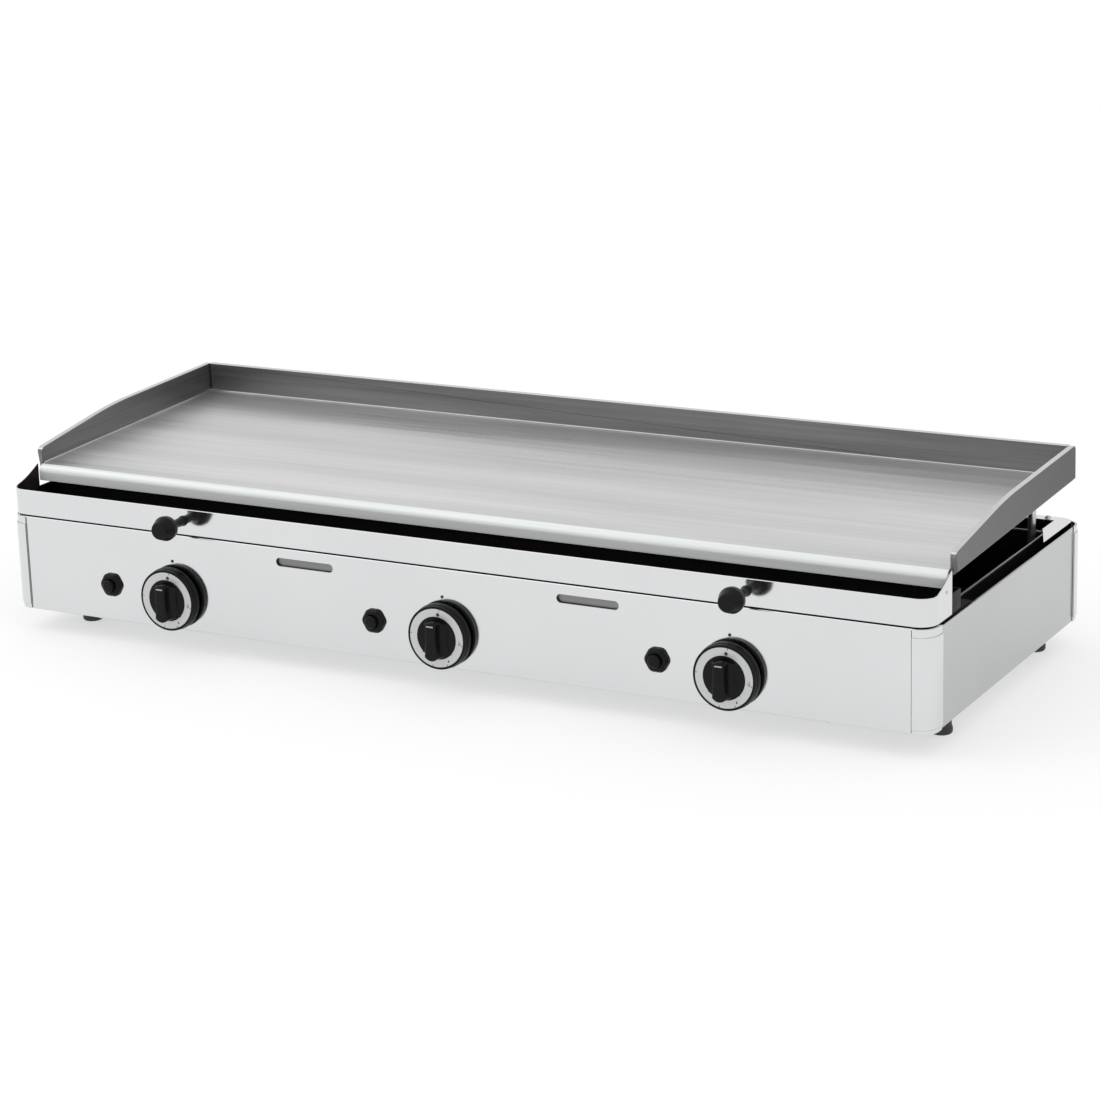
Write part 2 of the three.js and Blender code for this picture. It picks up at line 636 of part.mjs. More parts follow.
makeBasePan();
makeFrontPanel();
makeRearPanel();
makeSidePanels();
makeCornerTrims();
makeTopRim();
makeFeet();
makeBurnerBox();
makePlateRails();
makeBurners();
makeGasLine();
makePilots();
makeIgniters();
makeKnobs();
makeDrawer();
makePlate();
makeGuards();
makePlateLegs();

export default group;
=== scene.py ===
"""Finished surfaces of a countertop gas griddle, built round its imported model. Metres, +Z up."""
import math

import bmesh
import bpy
from mathutils import Matrix, Vector


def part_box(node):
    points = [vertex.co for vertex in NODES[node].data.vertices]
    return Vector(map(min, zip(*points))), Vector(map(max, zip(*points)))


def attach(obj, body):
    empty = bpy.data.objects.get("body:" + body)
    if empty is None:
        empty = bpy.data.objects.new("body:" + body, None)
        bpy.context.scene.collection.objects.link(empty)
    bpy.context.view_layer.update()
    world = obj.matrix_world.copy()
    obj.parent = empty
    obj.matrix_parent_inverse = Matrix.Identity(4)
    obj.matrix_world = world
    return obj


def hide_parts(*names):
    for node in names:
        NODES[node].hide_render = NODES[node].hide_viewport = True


bl_info = {
    "name": "Flat Top Griddle",
    "version": (1, 0, 0),
    "blender": (4, 5, 0),
    "location": "3D View > Sidebar > Griddle",
    "description": "Builds the finished surfaces of a countertop gas griddle",
    "category": "Object",
}

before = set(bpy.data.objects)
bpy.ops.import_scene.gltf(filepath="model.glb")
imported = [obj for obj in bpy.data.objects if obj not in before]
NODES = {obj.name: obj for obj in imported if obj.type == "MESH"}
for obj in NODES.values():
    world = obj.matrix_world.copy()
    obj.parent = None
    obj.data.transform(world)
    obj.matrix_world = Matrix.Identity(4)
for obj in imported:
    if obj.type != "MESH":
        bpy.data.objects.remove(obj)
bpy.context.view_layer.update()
MM = 0.001
ENDS = ("left", "centre", "right")
SIDES = ((-1, "left"), (1, "right"))
CORNERS = (("front", "left"), ("front", "right"), ("rear", "left"), ("rear", "right"))


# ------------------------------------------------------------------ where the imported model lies
def low(node):
    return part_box(node)[0]


def high(node):
    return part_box(node)[1]


def middle(node):
    lowest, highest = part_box(node)
    return (lowest + highest) / 2


FRONT = low("front_panel").y
BACK = high("rear_panel").y
HALF = high("front_panel").x
BOTTOM = low("front_panel").z
TOP = high("front_panel").z


# ------------------------------------------------------------------ sizes and colours
def distance(name, description, default):
    return bpy.props.FloatProperty(name=name, description=description, default=default,
                                   unit="LENGTH", subtype="DISTANCE", precision=4)


def distances(name, description, default):
    return bpy.props.FloatVectorProperty(name=name, description=description, default=default,
                                         size=len(default), unit="LENGTH", precision=4)


def angle(name, description, default):
    return bpy.props.FloatProperty(name=name, description=description, default=default,
                                   unit="ROTATION", subtype="ANGLE")


def colour(name, description, default):
    return bpy.props.FloatVectorProperty(name=name, description=description, default=default,
                                         size=3, subtype="COLOR", min=0, max=1)


def count(name, description, default):
    return bpy.props.IntProperty(name=name, description=description, default=default, min=1)


def amount(name, description, default):
    return bpy.props.FloatProperty(name=name, description=description, default=default, min=0)


class BodySettings(bpy.types.PropertyGroup):
    """The body's sheets, corners and sight slots."""
    sheet: distance("Sheet", "Thickness of the body's sheet metal", 1.2 * MM)
    bend: distance("Bend", "Outer radius of the sheet's folds", 1.3 * MM)
    corner: distance("Corner", "Radius of the body's upright corners", 17 * MM)
    wrap: distance("Wrap", "How far the front and rear sheets go round the sides", 21 * MM)
    flange: distance("Flange", "Width of the folded flanges", 12 * MM)
    cover: distance("Cover", "Thickness of the corner covers", 1.6 * MM)
    cover_low: distance("Cover foot", "Raised part of a cover starts here", 5 * MM)
    cover_high: distance("Cover head", "Raised part of a cover ends here", 90 * MM)
    slot_at: distances("Slots", "Middle of each sight slot, side to side",
                       (-148 * MM, 161 * MM))
    slot_level: distance("Slot level", "Middle of the slots over the body's bottom", 84 * MM)
    slot_long: distance("Slot length", "Length of a sight slot", 65 * MM)
    slot_tall: distance("Slot height", "Height of a sight slot", 8.6 * MM)
    steel_dark: colour("Steel, dull", "Polished steel where it is duller", (0.65, 0.665, 0.67))
    steel_light: colour("Steel, clear", "Polished steel where it is clearest",
                        (0.73, 0.74, 0.745))


class PlateSettings(bpy.types.PropertyGroup):
    """The cooking plate and its splash guards, in the plate's own tilted frame."""
    tilt: angle("Tilt", "Slope of the plate down to the front", math.radians(1.7))
    thick: distance("Thickness", "Thickness of the cooking plate", 5 * MM)
    nose: distance("Nose radius", "Outer radius of the plate's bent nose", 12 * MM)
    drop: distance("Nose drop", "Height of the bent nose", 16 * MM)
    run: distance("Run", "From the nose to the back of the back guard", 321 * MM)
    gap: distance("Gap", "Gap between the plate and its guards", 0.3 * MM)
    guard: distance("Guard", "Thickness of the splash guards", 6 * MM)
    guard_tall: distance("Guard height", "Height of the guards over the plate", 30.5 * MM)
    guard_low: distance("Guard front", "Height of a side guard's front end", 16 * MM)
    guard_from: distance("Guard setback", "Side guards start this far behind the nose", 8 * MM)
    edge: distance("Edge", "Softness of the guards' edges", 0.9 * MM)
    lower_edge: distance("Lower edge", "Radius of the side guards' lower outer edge", 4 * MM)
    weld: distance("Weld", "Size of the ground weld fillets", 1.3 * MM)
    plate_dark: colour("Plate, dark", "Dark strokes of the brushed plate", (0.45, 0.45, 0.455))
    plate_light: colour("Plate, light", "Light strokes of the brushed plate", (0.74, 0.74, 0.74))
    guard_dark: colour("Guard, dark", "Dark strokes of the guards", (0.12, 0.12, 0.122))
    guard_light: colour("Guard, light", "Light strokes of the guards", (0.30, 0.30, 0.303))


class DrawerSettings(bpy.types.PropertyGroup):
    """The grease drawer's face and pan."""
    sheet: distance("Sheet", "Thickness of the drawer's front", 1.5 * MM)
    wrap: distance("Wrap", "How far the front goes round the sides", 48 * MM)
    tall: distance("Height", "Height of the front", 26 * MM)
    ear: distance("Ear", "Height that the ears add at their back edge", 14.8 * MM)
    rivet: distance("Rivet", "Radius of the ears' rivets", 1.6 * MM)
    # Painted shade: these near-black colours stand in for the shade inside the drawer and the body,
    # with burnt grease and heat stains on them.
    dirt_dark: colour("Pan, dark", "Burnt-on grease", (0.006, 0.005, 0.0045))
    dirt_light: colour("Pan, light", "Heat-stained steel", (0.024, 0.020, 0.017))


class ControlSettings(bpy.types.PropertyGroup):
    """The gas knobs and their dials."""
    skirt: distance("Skirt", "Radius of a knob's skirt", 32.2 * MM)
    face: distance("Face", "Dial face, out from the body's front", 13.5 * MM)
    grip: distance("Grip", "Front of the grip, out from the body's front", 25.5 * MM)
    boss: distance("Boss", "Radius of the dark middle of the dial", 21.2 * MM)
    dial: distance("Dial", "Outer radius of the dial's silver ring", 28.8 * MM)
    pin_rise: distance("Index pin", "Index pin over the knob's axis", 37 * MM)
    pin: distance("Pin radius", "Radius of the index pin", 1.5 * MM)
    moulding: colour("Moulding", "Colour of the knobs and buttons", (0.004, 0.004, 0.0044))
    foil: colour("Foil", "Colour of the dial's silver ring", (0.60, 0.61, 0.61))


class BurnerSettings(bpy.types.PropertyGroup):
    """Small details of the burners and of the gas inlet."""
    ports: count("Ports", "Flame ports along each tube", 23)
    port: distance("Port", "Radius of a flame port", 1.3 * MM)
    spread: distance("Spread", "Between the two tubes of a burner", 120 * MM)
    # Painted highlight: a light strip on the burner box's dark top edge.
    edging: distance("Edging", "Width of the bright edging on the burner box", 1.6 * MM)
    thread_turns: amount("Thread turns", "Turns of the inlet's thread", 8.0)
    ridge: distance("Ridge", "Size of the thread's ridge", 0.55 * MM)
    tail: distance("Inlet tail", "Radius of the inlet's threaded tail", 9 * MM)


class StageSettings(bpy.types.PropertyGroup):
    """The floor, the light and the camera."""
    floor: colour("Floor", "Colour of the floor", (0.45, 0.45, 0.45))
    glow: amount("Glow", "Light that the floor gives itself, like a light table", 0.55)
    sky: amount("Sky", "Strength of the even light all round", 0.95)
    key: amount("Key", "Power of the main soft light", 22.0)
    fill: amount("Fill", "Power of the low front light", 2.0)
    eye: distances("Camera", "Place of the camera", (1.4794, -2.6489, 0.9676))
    heading: angle("Heading", "Camera's turn to the left", 0.5031)
    dip: angle("Dip", "Camera's dip below level", 0.2817)
    roll: angle("Roll", "Camera's roll", -0.0304)
    lens: amount("Lens", "Focal length in millimetres on a 36 mm sensor", 103.87)


GROUPS = {
    "griddle_body": BodySettings,
    "griddle_plate": PlateSettings,
    "griddle_drawer": DrawerSettings,
    "griddle_controls": ControlSettings,
    "griddle_burners": BurnerSettings,
    "griddle_stage": StageSettings,
}


# ------------------------------------------------------------------ node trees
class Wire:
    """One output of a node tree. A sum on it adds Math nodes."""

    def __init__(self, graph, socket):
        self.graph = graph
        self.socket = socket

    def _join(self, operation, first, second):
        return self.graph.node("ShaderNodeMath", {"operation": operation}, {0: first, 1: second})

    def __add__(self, other):
        return self._join("ADD", self, other)

    def __sub__(self, other):
        return self._join("SUBTRACT", self, other)

    def __mul__(self, other):
        return self._join("MULTIPLY", self, other)

    def __rsub__(self, other):
        return self._join("SUBTRACT", other, self)

    __radd__ = __add__
    __rmul__ = __mul__


class Graph:
    """Adds nodes to a shader tree or a geometry tree."""

    def __init__(self, tree):
        self.tree = tree

    def node(self, kind, settings=None, inputs=None, out=0):
        made = self.tree.nodes.new(kind)
        for key, value in (settings or {}).items():
            if key == "stops":
                ramp = made.color_ramp
                for element, (place, shade) in zip((ramp.elements[0], ramp.elements[1]), value):
                    element.position = place
                    element.color = (shade, shade, shade, 1)
            else:
                setattr(made, key, value)
        for key, value in (inputs or {}).items():
            if isinstance(value, list):
                for wire in value:
                    self.tree.links.new(wire.socket, made.inputs[key])
            elif isinstance(value, Wire):
                self.tree.links.new(value.socket, made.inputs[key])
            else:
                made.inputs[key].default_value = value
        return Wire(self, made.outputs[out] if made.outputs else None)

    def vector(self, x, y, z):
        return self.node("ShaderNodeCombineXYZ", None, {0: x, 1: y, 2: z})

    # ---- shader trees only
    def mix(self, share, first, second):
        return self.node("ShaderNodeMix", {"data_type": "RGBA"},
                         {0: share, 6: solid(first), 7: solid(second)}, 2)

    def place(self, stretch):
        where = self.node("ShaderNodeTexCoord", out="Object")
        return self.node("ShaderNodeMapping", None, {"Vector": where, "Scale": stretch})

    def noise(self, stretch, detail=3.0, rough=0.5, twist=0.0):
        return self.node("ShaderNodeTexNoise", None, {
            "Vector": self.place(stretch), "Scale": 1.0, "Detail": detail,
            "Roughness": rough, "Distortion": twist})

    def cells(self, stretch):
        return self.node("ShaderNodeTexVoronoi", None,
                         {"Vector": self.place(stretch), "Scale": 1.0}, "Color")

    def firm(self, wire, start, end):
        """Stretches a soft pattern to the full span from 0 to 1."""
        return self.node("ShaderNodeValToRGB", {"stops": ((start, 0), (end, 1))}, {0: wire})

    def surface(self, base, metallic, roughness, gloss=0.5, glow=0.0, bump=None,
                depth=0.2 * MM, strength=0.3):
        sockets = {"Base Color": solid(base), "Metallic": metallic, "Roughness": roughness,
                   "Specular IOR Level": gloss, "Emission Color": (1, 1, 1, 1),
                   "Emission Strength": glow}
        if bump is not None:
            sockets["Normal"] = self.node("ShaderNodeBump", None, {
                "Height": bump, "Distance": depth, "Strength": strength}, "Normal")
        shader = self.node("ShaderNodeBsdfPrincipled", None, sockets)
        self.node("ShaderNodeOutputMaterial", None, {"Surface": shader})


def solid(value):
    """A colour with its alpha, or a wire as it is."""
    return value if isinstance(value, Wire) else (*value[:3], 1.0)


# ------------------------------------------------------------------ finishes
def polished_steel(g, s):
    cloud = g.noise((5, 5, 5), 4, 0.6)
    rub = g.noise((4, 4, 70), 3, 0.5)
    wave = g.noise((7, 7, 7), 1)
    g.surface(g.mix(cloud, s.griddle_body.steel_dark, s.griddle_body.steel_light), 1.0,
              cloud * 0.06 + rub * 0.05 + 0.06, bump=wave, depth=0.3 * MM, strength=0.05)


def side_steel(g, s):
    """The side sheets: rougher than the front, and darker in colour as painted shade."""
    cloud = g.noise((5, 5, 5), 4, 0.6)
    rub = g.noise((4, 4, 70), 3, 0.5)
    g.surface(g.mix(cloud, (0.44, 0.45, 0.452), (0.52, 0.53, 0.532)), 1.0,
              cloud * 0.06 + rub * 0.05 + 0.10, bump=rub, depth=0.1 * MM, strength=0.05)


def brushed_plate(g, s):
    broad = g.firm(g.noise((1.3, 13, 13), 3, 0.5), 0.36, 0.64)
    stroke = g.firm(g.noise((2.2, 130, 130), 5, 0.65), 0.3, 0.7)
    fine = g.noise((9, 1300, 1300), 2)
    tone = broad * 0.5 + stroke * 0.4 + fine * 0.1
    g.surface(g.mix(tone, s.griddle_plate.plate_dark, s.griddle_plate.plate_light), 0.78,
              stroke * 0.10 + broad * 0.06 + 0.24, bump=fine * 0.6 + stroke * 0.4,
              depth=0.12 * MM, strength=0.35)


def dressed_nose(g, s):
    """The plate's bent nose: dressed with finer strokes than its top and rougher, and lighter and less
    metallic in colour as painted light for the soft bright band along it.
    """
    stroke = g.firm(g.noise((3, 260, 260), 4, 0.6), 0.3, 0.7)
    g.surface(g.mix(stroke, (0.74, 0.76, 0.76), (0.86, 0.88, 0.88)), 0.25,
              stroke * 0.08 + 0.42, bump=stroke, depth=0.08 * MM, strength=0.25)


def rolled_steel(g, s, along):
    """Guard steel whose strokes run along one axis."""
    stretch = [18, 18, 18]
    stretch[along] = 1.3
    broad = g.firm(g.noise(tuple(stretch), 4, 0.6), 0.3, 0.7)
    stretch = [260, 260, 260]
    stretch[along] = 4
    stroke = g.firm(g.noise(tuple(stretch), 4, 0.65), 0.25, 0.75)
    tone = broad * 0.6 + stroke * 0.4
    g.surface(g.mix(tone, s.griddle_plate.guard_dark, s.griddle_plate.guard_light), 1.0,
              stroke * 0.12 + 0.30, bump=stroke, depth=0.1 * MM, strength=0.3)


def guard_steel(g, s):
    rolled_steel(g, s, 0)


def side_guard_steel(g, s):
    rolled_steel(g, s, 1)


def outer_guard_steel(g, s):
    """A side guard's outer face, painted darker than its inner face and darker towards the back:
    painted shade for the dark surroundings that it reflects.
    """
    where = g.node("ShaderNodeTexCoord", out="Object")
    depth = g.node("ShaderNodeSeparateXYZ", None, {0: where}, 1)
    # Painted shade: the lighter colour's share grows towards the front, and the darker colour's towards
    # the back.
    ahead = g.firm(0.45 - depth * 2.8, 0.0, 1.0)
    stroke = g.firm(g.noise((200, 4, 200), 4, 0.65), 0.25, 0.75)
    g.surface(g.mix(ahead * 0.7 + stroke * 0.3, (0.035, 0.035, 0.036), (0.17, 0.17, 0.172)), 1.0,
              stroke * 0.12 + 0.30, bump=stroke, depth=0.1 * MM, strength=0.3)


# Bright steel: the plate posts' own colour, and on the guards' top faces a painted highlight.
def ground_edge(g, s):
    stroke = g.noise((300, 300, 300), 3)
    g.surface(g.mix(stroke, (0.50, 0.50, 0.50), (0.68, 0.68, 0.68)), 1.0, stroke * 0.1 + 0.25,
              bump=stroke, depth=0.1 * MM, strength=0.3)


def ground_weld(g, s):
    ripple = g.noise((420, 420, 420), 2)
    tone = g.noise((30, 30, 30), 3)
    g.surface(g.mix(tone, (0.36, 0.36, 0.36), (0.56, 0.56, 0.56)), 1.0, tone * 0.14 + 0.26,
              bump=ripple, depth=0.25 * MM, strength=0.4)


def galvanised_sheet(g, s):
    spangle = g.cells((90, 90, 90))
    stain = g.noise((12, 12, 12), 4)
    tone = g.node("ShaderNodeRGBToBW", None, {0: spangle}) * 0.6 + stain * 0.4
    g.surface(g.mix(tone, (0.30, 0.31, 0.32), (0.50, 0.52, 0.53)), 1.0, tone * 0.2 + 0.34,
              bump=stain, strength=0.2)


# Near-black steel, partly burnt-grease streaks and spots, partly painted shade for the dark inside of
# the body and the drawer.
def burnt_steel(g, s):
    streak = g.firm(g.noise((3, 120, 120), 5, 0.7), 0.3, 0.75)
    spot = g.noise((60, 60, 60), 4)
    g.surface(g.mix(streak * spot, s.griddle_drawer.dirt_dark, s.griddle_drawer.dirt_light),
              0.3, spot * 0.25 + 0.4, gloss=0.25, bump=spot, depth=0.3 * MM, strength=0.4)


def cast_burner(g, s):
    grain = g.noise((700, 700, 700), 3)
    rust = g.firm(g.noise((35, 35, 35), 5, 0.7), 0.55, 0.8)
    g.surface(g.mix(rust, (0.055, 0.055, 0.058), (0.13, 0.085, 0.06)), 0.6,
              grain * 0.2 + 0.5, bump=grain, depth=0.4 * MM, strength=0.6)


def brass_fitting(g, s):
    tarnish = g.noise((50, 50, 50), 4)
    g.surface(g.mix(tarnish, (0.42, 0.30, 0.13), (0.72, 0.56, 0.29)), 1.0,
              tarnish * 0.2 + 0.2, bump=tarnish, strength=0.15)


def black_plastic(g, s):
    grain = g.noise((900, 900, 900), 2)
    haze = g.noise((80, 80, 80), 3)
    shade = s.griddle_controls.moulding
    g.surface(g.mix(haze, shade, [c * 1.8 for c in shade]), 0.0, haze * 0.12 + 0.2,
              gloss=0.13, bump=grain, depth=0.05 * MM, strength=0.25)


def dial_face(g, s):
    grain = g.noise((1500, 1500, 1500), 2)
    shade = s.griddle_controls.foil
    g.surface(g.mix(grain, [c * 0.86 for c in shade], shade), 0.75, grain * 0.1 + 0.36,
              bump=grain, depth=0.03 * MM, strength=0.3)


def printed_ink(g, s):
    wear = g.noise((1200, 1200, 1200), 2)
    g.surface(g.mix(wear, (0.012, 0.012, 0.012), (0.03, 0.03, 0.03)), 0.0, wear * 0.1 + 0.4)


# White of the knobs' top bar: partly a pointer mark, partly a painted highlight.
def white_mark(g, s):
    wear = g.noise((1200, 1200, 1200), 2)
    g.surface(g.mix(wear, (0.30, 0.30, 0.29), (0.40, 0.40, 0.39)), 0.0, wear * 0.1 + 0.35)


def black_rubber(g, s):
    dust = g.noise((240, 240, 240), 4)
    g.surface(g.mix(dust, (0.010, 0.010, 0.010), (0.030, 0.030, 0.031)), 0.0,
              dust * 0.15 + 0.5, bump=dust, depth=0.1 * MM, strength=0.3)


def screw_steel(g, s):
    turn = g.noise((500, 500, 500), 2)
    g.surface(g.mix(turn, (0.40, 0.41, 0.42), (0.62, 0.63, 0.64)), 1.0, turn * 0.12 + 0.22,
              bump=turn, depth=0.05 * MM, strength=0.3)


# Near-black discs as painted shade for the flame ports' holes, with a fine random speckle.
def port_black(g, s):
    port_speckle = g.noise((900, 900, 900), 2)
    g.surface(g.mix(port_speckle, (0.004, 0.004, 0.004), (0.012, 0.011, 0.010)), 0.0,
              port_speckle * 0.1 + 0.8)


def studio_floor(g, s):
    haze = g.noise((2, 2, 2), 2)
    shade = s.griddle_stage.floor
    g.surface(g.mix(haze, [c * 0.995 for c in shade], shade), 0.0, haze * 0.05 + 0.7,
              gloss=0.1, glow=s.griddle_stage.glow)


def material(finish):
    name = finish.__name__ + "_finish"
    made = bpy.data.materials.get(name)
    if made is None:
        made = bpy.data.materials.new(name)
        made.use_nodes = True
        made.node_tree.nodes.clear()
        finish(Graph(made.node_tree), bpy.context.scene)
    return made


# ------------------------------------------------------------------ shapes
def rounded(corners, step=0.5 * MM):
    """A closed outline whose corners are (across, up) or (across, up, radius)."""
    least = 3
    points = []
    total = len(corners)
    for i, corner in enumerate(corners):
        here = Vector(corner[:2])
        radius = corner[2] if len(corner) > 2 else 0
        before = Vector(corners[i - 1][:2]) - here
        after = Vector(corners[(i + 1) % total][:2]) - here
        if radius == 0 or before.length < 1e-9 or after.length < 1e-9:
            points.append(here)
            continue
        half = before.angle(after) / 2
        reach = min(radius / math.tan(half), before.length * 0.49, after.length * 0.49)
        radius = reach * math.tan(half)
        start = here + before.normalized() * reach
        centre = here + (before.normalized() + after.normalized()).normalized() * (
            radius / math.sin(half))
        sweep = math.pi - 2 * half
        first = start - centre
        side = 1 if before.x * after.y - before.y * after.x < 0 else -1
        pieces = max(least, int(sweep * radius / step) + 1)
        for k in range(pieces + 1):
            turn = side * sweep * k / pieces
            points.append(centre + Matrix.Rotation(turn, 2) @ first)
    return points


def oblong(left, bottom, right, top, radius=0, step=0.5 * MM):
    """A four-sided outline with rounded corners."""
    return rounded([(left, bottom, radius), (right, bottom, radius),
                    (right, top, radius), (left, top, radius)], step)


def skin(rings, closed=False):
    """Joins rings of points, end to end, into one closed shell."""
    bm = bmesh.new()
    loops = [[bm.verts.new(point) for point in ring] for ring in rings]
    size = len(loops[0])
    following = loops[1:] + ([loops[0]] if closed else [])
    for one, two in zip(loops, following):
        for i in range(size):
            j = (i + 1) % size
            bm.faces.new((one[i], one[j], two[j], two[i]))
    if not closed:
        bm.faces.new(loops[0])
        bm.faces.new(loops[-1])
    bmesh.ops.remove_doubles(bm, verts=bm.verts, dist=1e-6)
    bmesh.ops.recalc_face_normals(bm, faces=bm.faces)
    return bm


def turned(profile, centre, forward=True, sides=56, bulge=None):
    """Turns a closed profile of (radius, reach) about an axis that points forward, or up."""
    rings = []
    for k in range(sides):
        turn = 2 * math.pi * k / sides
        ring = []
        for radius, reach in profile:
            if bulge:
                radius = bulge(radius, turn)
            across, aside = radius * math.cos(turn), radius * math.sin(turn)
            offset = (across, -reach, aside) if forward else (across, aside, reach)
            ring.append(Vector(centre) + Vector(offset))
        rings.append(ring)
    return skin(rings, closed=True)


def slab(outline, start, end, soft_start, soft_end, put):
    """A plate with this outline and softened edges. put(across, up, through) places a point.
    Each softness is a radius, or gives one for the outline's outward direction."""
    total = len(outline)
    area = sum(a.x * b.y - a.y * b.x for a, b in zip(outline, outline[1:] + outline[:1]))
    facing = 1 if area > 0 else -1
    outward = []
    for i, point in enumerate(outline):
        run = (outline[(i + 1) % total] - point).normalized()
        came = (point - outline[i - 1]).normalized()
        lean = Vector((run.y + came.y, -(run.x + came.x))) * facing
        lean.normalize()
        outward.append(lean / max(0.5, abs(lean.dot(Vector((run.y, -run.x)) * facing))))
    into = 1 if end > start else -1
    rings = []
    arcs = 5
    for edge, soft, direction, order in ((start, soft_start, into, range(arcs + 1)),
                                         (end, soft_end, -into, range(arcs, -1, -1))):
        for k in order:
            turn = math.pi / 2 * k / arcs
            ring = []
            for point, lean in zip(outline, outward):
                radius = soft(lean) if callable(soft) else soft
                spot = point - lean * radius * (1 - math.sin(turn))
                ring.append(put(spot.x, spot.y, edge + direction * radius * (1 - math.cos(turn))))
            rings.append(ring)
    return skin(rings)


def joined(*shells):
    """Several shells as the parts of one piece."""
    mesh = bpy.data.meshes.new("joined")
    whole = bmesh.new()
    for shell in shells:
        shell.to_mesh(mesh)
        shell.free()
        whole.from_mesh(mesh)
    bpy.data.meshes.remove(mesh)
    return whole


def moved(shell, matrix):
    bmesh.ops.transform(shell, matrix=matrix, verts=shell.verts)
    if matrix.determinant() < 0:
        bmesh.ops.recalc_face_normals(shell, faces=shell.faces)
    return shell


def as_object(name, shell):
    mesh = bpy.data.meshes.new(name)
    shell.to_mesh(mesh)
    shell.free()
    made = bpy.data.objects.new(name, mesh)
    bpy.context.scene.collection.objects.link(made)
    return made


def settle(made):
    """Turns an object's modifiers into plain mesh."""
    seen = bpy.context.evaluated_depsgraph_get()
    mesh = bpy.data.meshes.new_from_object(made.evaluated_get(seen), depsgraph=seen)
    made.modifiers.clear()
    made.data = mesh


def piece(name, shell, body, finishes, stands_for=(), holes=None, soften=0.0, choose=None):
    """Finishes a shape, and puts it on its body. choose(face) picks one of its finishes."""
    finishes = finishes if isinstance(finishes, tuple) else (finishes,)
    made = as_object(name, shell)
    if holes:
        tool = as_object(name + "_tool", holes)
        cutter = made.modifiers.new("holes", "BOOLEAN")
        cutter.operation = "DIFFERENCE"
        cutter.solver = "EXACT"
        cutter.object = tool
        settle(made)
        bpy.data.objects.remove(tool)
    if soften:
        bevel = made.modifiers.new("edges", "BEVEL")
        bevel.width = soften
        bevel.segments = 2
        bevel.limit_method = "ANGLE"
        bevel.angle_limit = math.radians(40)
        settle(made)
    mesh = made.data
    mesh.materials.clear()
    for finish in finishes:
        mesh.materials.append(material(finish))
    for face in mesh.polygons:
        face.use_smooth = True
        face.material_index = int(choose(face)) if choose else 0
    mesh.set_sharp_from_angle(angle=math.radians(38))
    weighted = made.modifiers.new("flat faces", "WEIGHTED_NORMAL")
    weighted.keep_sharp = True
    return placed(made, body, stands_for)


def placed(made, body, stands_for=()):
    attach(made, body)
    if stands_for:
        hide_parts(*stands_for)
    return made


# ------------------------------------------------------------------ body sheets
def front_path(radius, depths, arcs=18):
    """Points round the body's front end, each with its inward direction and its depth."""
    left = [(Vector((-HALF, FRONT + depth, 0)), Vector((1, 0, 0)), depth) for depth in depths]
    centre = Vector((-HALF + radius, FRONT + radius, 0))
    for k in range(arcs + 1):
        turn = math.pi * (1 + 0.5 * k / arcs)
        out = Vector((math.cos(turn), math.sin(turn), 0))
        spot = centre + out * radius
        left.append((spot, -out, spot.y - FRONT))
    right = [(Vector((-spot.x, spot.y, 0)), Vector((-inward.x, inward.y, 0)), depth)
             for spot, inward, depth in reversed(left)]
    return left + right


def follow(path, section):
    """Carries a section of (inwards, up) along a path. section may depend on the depth."""
    rings = []
    for spot, inward, depth in path:
        points = section(depth) if callable(section) else section
        rings.append([spot + inward * across + Vector((0, 0, up)) for across, up in points])
    return skin(rings)


def end_for_end():
    """Turns a shape made for the front end round to the back."""
    return Matrix.Translation((0, FRONT + BACK, 0)) @ Matrix.Rotation(math.pi, 4, "Z")


def stadium(long, tall, arcs=12):
    points = []
    for side in (1, -1):
        for k in range(arcs + 1):
            turn = math.pi * (k / arcs - 0.5)
            points.append(Vector((side * ((long - tall) / 2 + math.cos(turn) * tall / 2),
                                  side * math.sin(turn) * tall / 2)))
    return points


def punch(outline, x, z, y, upright=False):
    """A straight cutter through a sheet that stands at y."""
    deep = 6 * MM
    rings = []
    for reach in (-deep, deep):
        rings.append([Vector((x + (p.y if upright else p.x), y + reach,
                              z + (p.x if upright else p.y))) for p in outline])
    return skin(rings)


def circle(radius, sides=32):
    return [Vector((radius * math.cos(2 * math.pi * k / sides),
                    radius * math.sin(2 * math.pi * k / sides))) for k in range(sides)]


